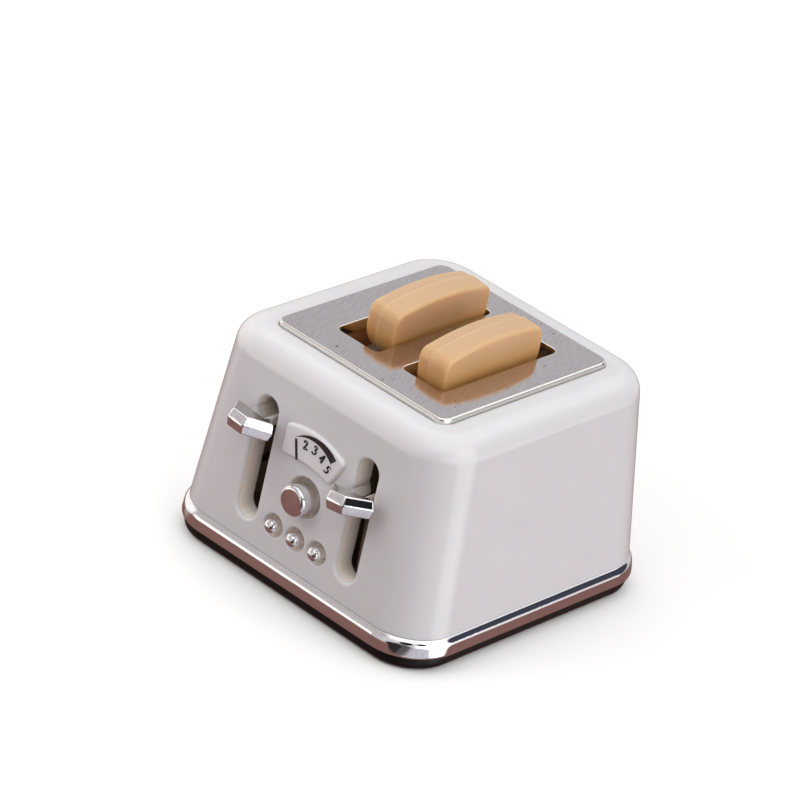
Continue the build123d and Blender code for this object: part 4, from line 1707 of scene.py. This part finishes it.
@dataclass
class Clips:
    """Dished square clips on the plate's tabs."""

    cover: Cover
    width: float = 1.5
    crown: float = 1.2
    thickness: float = 0.2
    hole_depth: float = 1.0

    def build(self) -> None:
        """Grows a square of four clips where the frame has them."""
        low, high = node_box("plate_clips")
        span, centre = high - low, (low + high) / 2
        grower = Grower("plate_clip_square")
        width, crown = grower.size("Width", self.width), grower.size("Crown Width", self.crown)
        tab, thick = grower.size("Tab Width", self.cover.tab), grower.size("Thickness", self.thickness)
        rise = grower.vector(z=grower.size("Crown Height", span.z - self.thickness))
        upper = grower.moved(grower.slab(width, width, thick), rise)
        blank = grower.combined(Join.FUSE, grower.slab(crown, crown, grower.size("Height", span.z)), upper)
        hole = grower.slab(tab, tab, grower.size("Reach", self.hole_depth))
        grid = grower.feed(grower.add("GeometryNodeMeshGrid"), Vertices_X=2, Vertices_Y=2,
                           Size_X=grower.size("Span X", span.x - self.width),
                           Size_Y=grower.size("Span Y", span.y - self.width))
        corners = grower.moved(grid.outputs["Mesh"], grower.spot("Centre", centre.x, centre.y, low.z))
        piece = grower.grow("cover_clips", corners, grower.combined(Join.CUT, blank, hole), "steel")
        fit(piece, "case", "plain_steel", "plate_clips")


# ---------------------------------------------------------------- pieces kept from the frame


INNER_WORKS: Dict[str, str] = {
    "bread_guide": "dark", "left_carriage": "taupe", "right_carriage": "taupe", "left_guide_post": "steel",
    "right_guide_post": "steel", "knob_retainer": "taupe", "button_spring": "spring",
}


def dress(node: str, key: str) -> None:
    """Puts a finish on a frame node whose own shape is kept."""
    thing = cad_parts[node]
    if not thing.material_slots:
        thing.data.materials.append(material(key))
    for slot in thing.material_slots:
        slot.material = material(key)
    LOG.info("%s keeps its shape, in %s", node, key)


# ---------------------------------------------------------------- studio


def heading(azimuth: float, elevation: float) -> Vector:
    """Unit vector towards an azimuth, from the front towards +X, and an elevation, in degrees."""
    a, e = radians(azimuth), radians(elevation)
    return Vector((sin(a) * cos(e), -cos(a) * cos(e), sin(e)))


@dataclass(frozen=True)
class Lamp:
    """Soft square lamp that looks at the toaster."""

    name: str = "overhead"
    azimuth: float = -26.0
    elevation: float = 38.0
    width: float = 0.075
    power: float = 0.046
    distance: float = 0.13

    def build(self, aim: Vector) -> None:
        """Hangs the lamp."""
        data = bpy.data.lights.new(self.name, "AREA")
        data.shape, data.size, data.size_y, data.energy = "RECTANGLE", self.width, self.width, self.power
        lamp = linked(self.name, data)
        lamp.visible_glossy = False
        towards = heading(self.azimuth, self.elevation)
        facing = towards.to_track_quat("Z", "Y").to_matrix().to_4x4()
        lamp.matrix_world = Matrix.Translation(aim + towards * self.distance) @ facing


@dataclass(frozen=True)
class Glow:
    """Weak warm lamp inside the housing, for the daylight that its plastic lets through."""

    name: str = "daylight_through_plastic"
    place: Tuple[float, float, float] = (0.0, -3.5, 6.0)
    radius: float = 4.0
    power: float = 0.0016
    color: Color = (1.0, 0.82, 0.68)

    def build(self) -> None:
        """Puts the lamp in, for the tray and the inner works alone."""
        data = bpy.data.lights.new(self.name, "POINT")
        data.energy, data.color, data.shadow_soft_size = self.power, self.color, self.radius * MM
        lamp = linked(self.name, data)
        lamp.location = Vector(self.place) * MM
        inside = bpy.data.collections.new("inner_works")
        for thing in [bpy.data.objects["foot_tray"], *(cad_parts[node] for node in INNER_WORKS)]:
            inside.objects.link(thing)
        lamp.light_linking.receiver_collection = inside
        lamp.visible_glossy = lamp.visible_transmission = False


@dataclass(frozen=True)
class Card:
    """Part of the surround with its own brightness, round and soft-edged.

    Azimuth and elevation say where its middle is, spread is its angular radius and blur the width of its
    edge, all in degrees.
    """

    azimuth: float
    elevation: float
    spread: float
    blur: float
    color: Color


@dataclass(frozen=True)
class Surround:
    """World that brightens upwards, with cards laid over it.

    Sky holds the colour at each height of the view direction, from -1 straight down to 1 straight up.
    """

    sky: Tuple[Tuple[float, Color], ...] = (
        (-1.0, (0.2, 0.105, 0.092)), (-0.28, (0.25, 0.13, 0.115)), (-0.16, (0.6, 0.57, 0.58)),
        (0.5, (0.74, 0.74, 0.75)), (0.72, (1.3, 1.29, 1.28)))
    cards: Tuple[Card, ...] = (
        Card(-46.0, 30.0, 36.0, 16.0, (0.56, 0.51, 0.52)),
        Card(-42.0, -3.0, 12.0, 6.0, (1.3, 1.25, 1.2)),
        Card(97.0, 7.0, 38.0, 9.0, (2.15, 2.13, 2.15)),
        Card(61.0, -27.0, 25.0, 8.0, (0.6, 0.57, 0.63)),
        Card(-88.0, 8.0, 30.0, 12.0, (1.15, 1.1, 1.07)),
        Card(30.0, -4.0, 20.0, 9.0, (0.12, 0.11, 0.105)),
        Card(17.0, -7.0, 15.0, 5.0, (0.03, 0.026, 0.026)),
        Card(39.5, 28.4, 12.0, 3.0, (0.015, 0.015, 0.015)),
        Card(70.0, 28.0, 9.0, 4.0, (0.02, 0.02, 0.025)),
        Card(147.0, 14.0, 23.0, 8.0, (0.05, 0.055, 0.08)),
        Card(138.0, -13.5, 4.5, 3.0, (0.9, 0.85, 0.88)),
    )
    mottle_scale: float = 7.0
    mottle_range: Tuple[float, float] = (0.88, 1.12)

    def build(self) -> None:
        """Makes the world."""
        world = bpy.data.worlds.new("surround")
        bpy.context.scene.world = world
        world.use_nodes = True
        tree = Tree(world.node_tree)
        background = next(node for node in tree.tree.nodes if node.type == "BACKGROUND")
        way = tree.add("ShaderNodeTexCoord").outputs["Generated"]
        height = tree.spread(tree.axis(way, "Z"), -1.0, 1.0)
        color = tree.ramp(height, *(((rise + 1) / 2, shade) for rise, shade in self.sky))
        for card in self.cards:
            near = tree.add("ShaderNodeVectorMath", operation="DOT_PRODUCT")
            tree.put(near.inputs[0], way)
            tree.put(near.inputs[1], heading(card.azimuth, card.elevation))
            rim, core = card.spread + card.blur / 2, max(card.spread - card.blur / 2, 0.0)
            share = tree.spread(near.outputs["Value"], cos(radians(rim)), cos(radians(core)),
                                interpolation_type="SMOOTHSTEP")
            color = tree.mix(share, color, card.color)
        mottle = tree.noise_on(way, self.mottle_scale, 2.0)
        tree.feed(background, Color=color, Strength=tree.spread(mottle, 0.35, 0.65, *self.mottle_range))


@dataclass
class Studio:
    """Camera, pale floor, surround and lamps."""

    azimuth: float = 39.458
    elevation: float = 28.352
    roll: float = 10.36
    distance: float = 366.729
    target: Tuple[float, float, float] = (-0.3536, -3.6168, 15.3414)
    lens: float = 205.47
    sensor: float = 36.0
    floor_color: Color = (0.97, 0.97, 0.97)
    floor_mottle: float = 0.985
    floor_cloud_mm: float = 60.0
    floor_half_width: float = 4.0
    floor_drop: float = 0.02

    def camera(self) -> None:
        """Camera at the given angle."""
        data = bpy.data.cameras.new("camera")
        data.lens, data.sensor_width, data.clip_start = self.lens, self.sensor, 0.01
        camera = linked("camera", data)
        place = Vector(self.target) + heading(self.azimuth, self.elevation) * self.distance
        stance = turn(self.azimuth, "Z") @ turn(90 - self.elevation, "X") @ turn(self.roll, "Z")
        camera.matrix_world = Matrix.Translation(place * MM) @ stance
        bpy.context.scene.camera = camera

    def floor(self) -> None:
        """Wide pale floor just under the tray."""
        mesh = bmesh.new()
        bmesh.ops.create_grid(mesh, x_segments=8, y_segments=8, size=self.floor_half_width)
        data = bpy.data.meshes.new("floor")
        mesh.to_mesh(data)
        mesh.free()
        thing = linked("floor", data)
        thing.location.z = -self.floor_drop * MM
        paint = Shader("pale_floor", Roughness=0.9)
        shades = ((0.3, dimmed(self.floor_color, self.floor_mottle)), (0.7, self.floor_color))
        paint.feed(paint.surface, Base_Color=paint.ramp(paint.noise(self.floor_cloud_mm, 2.0), *shades))
        data.materials.append(paint.material)
        thing.visible_diffuse = thing.visible_glossy = thing.visible_shadow = False

    def build(self) -> None:
        """Sets up the whole studio."""
        self.camera()
        self.floor()
        Surround().build()
        Glow().build()
        Lamp().build(Vector((0.0, 0.0, self.target[2] * MM)))
        bpy.context.scene.view_settings.view_transform = "Standard"
        LOG.info("studio is set up")


# ---------------------------------------------------------------- assembly


def main() -> None:
    """Builds the toaster piece by piece, then the studio."""
    logging.basicConfig(level=logging.INFO, format="%(message)s")
    walls, openings, cover = Walls(), Openings(), Cover()
    scale, bead = Scale(walls, openings), Bead(walls)
    left, right = (openings.lever_x(side) for side in Side)
    buttons = zip(("left", "centre", "right"), openings.button_centres())
    pieces = (
        Housing(walls, openings, cover, scale), scale, bead, Tray(walls, bead), cover,
        Lever(Side.LEFT, (left, -14.79, 13.98), yaw=-3.5, roll=2.3),
        Lever(Side.RIGHT, (right, -14.56, 12.34), yaw=0.0, roll=-7.6),
        Slice(Side.LEFT, -3.2, 1.2, yaw=0.7, tilt=-0.25, roll=1.6),
        Slice(Side.RIGHT, 3.86, 0.19, yaw=0.1, tilt=1.8, roll=-0.2),
        Knob(walls, openings), *(Button(walls, openings, word, x) for word, x in buttons),
        Screws(), Clips(cover),
    )
    for piece in pieces:
        piece.build()
    for node, key in INNER_WORKS.items():
        dress(node, key)
    Studio().build()


if __name__ == "__main__":
    main()
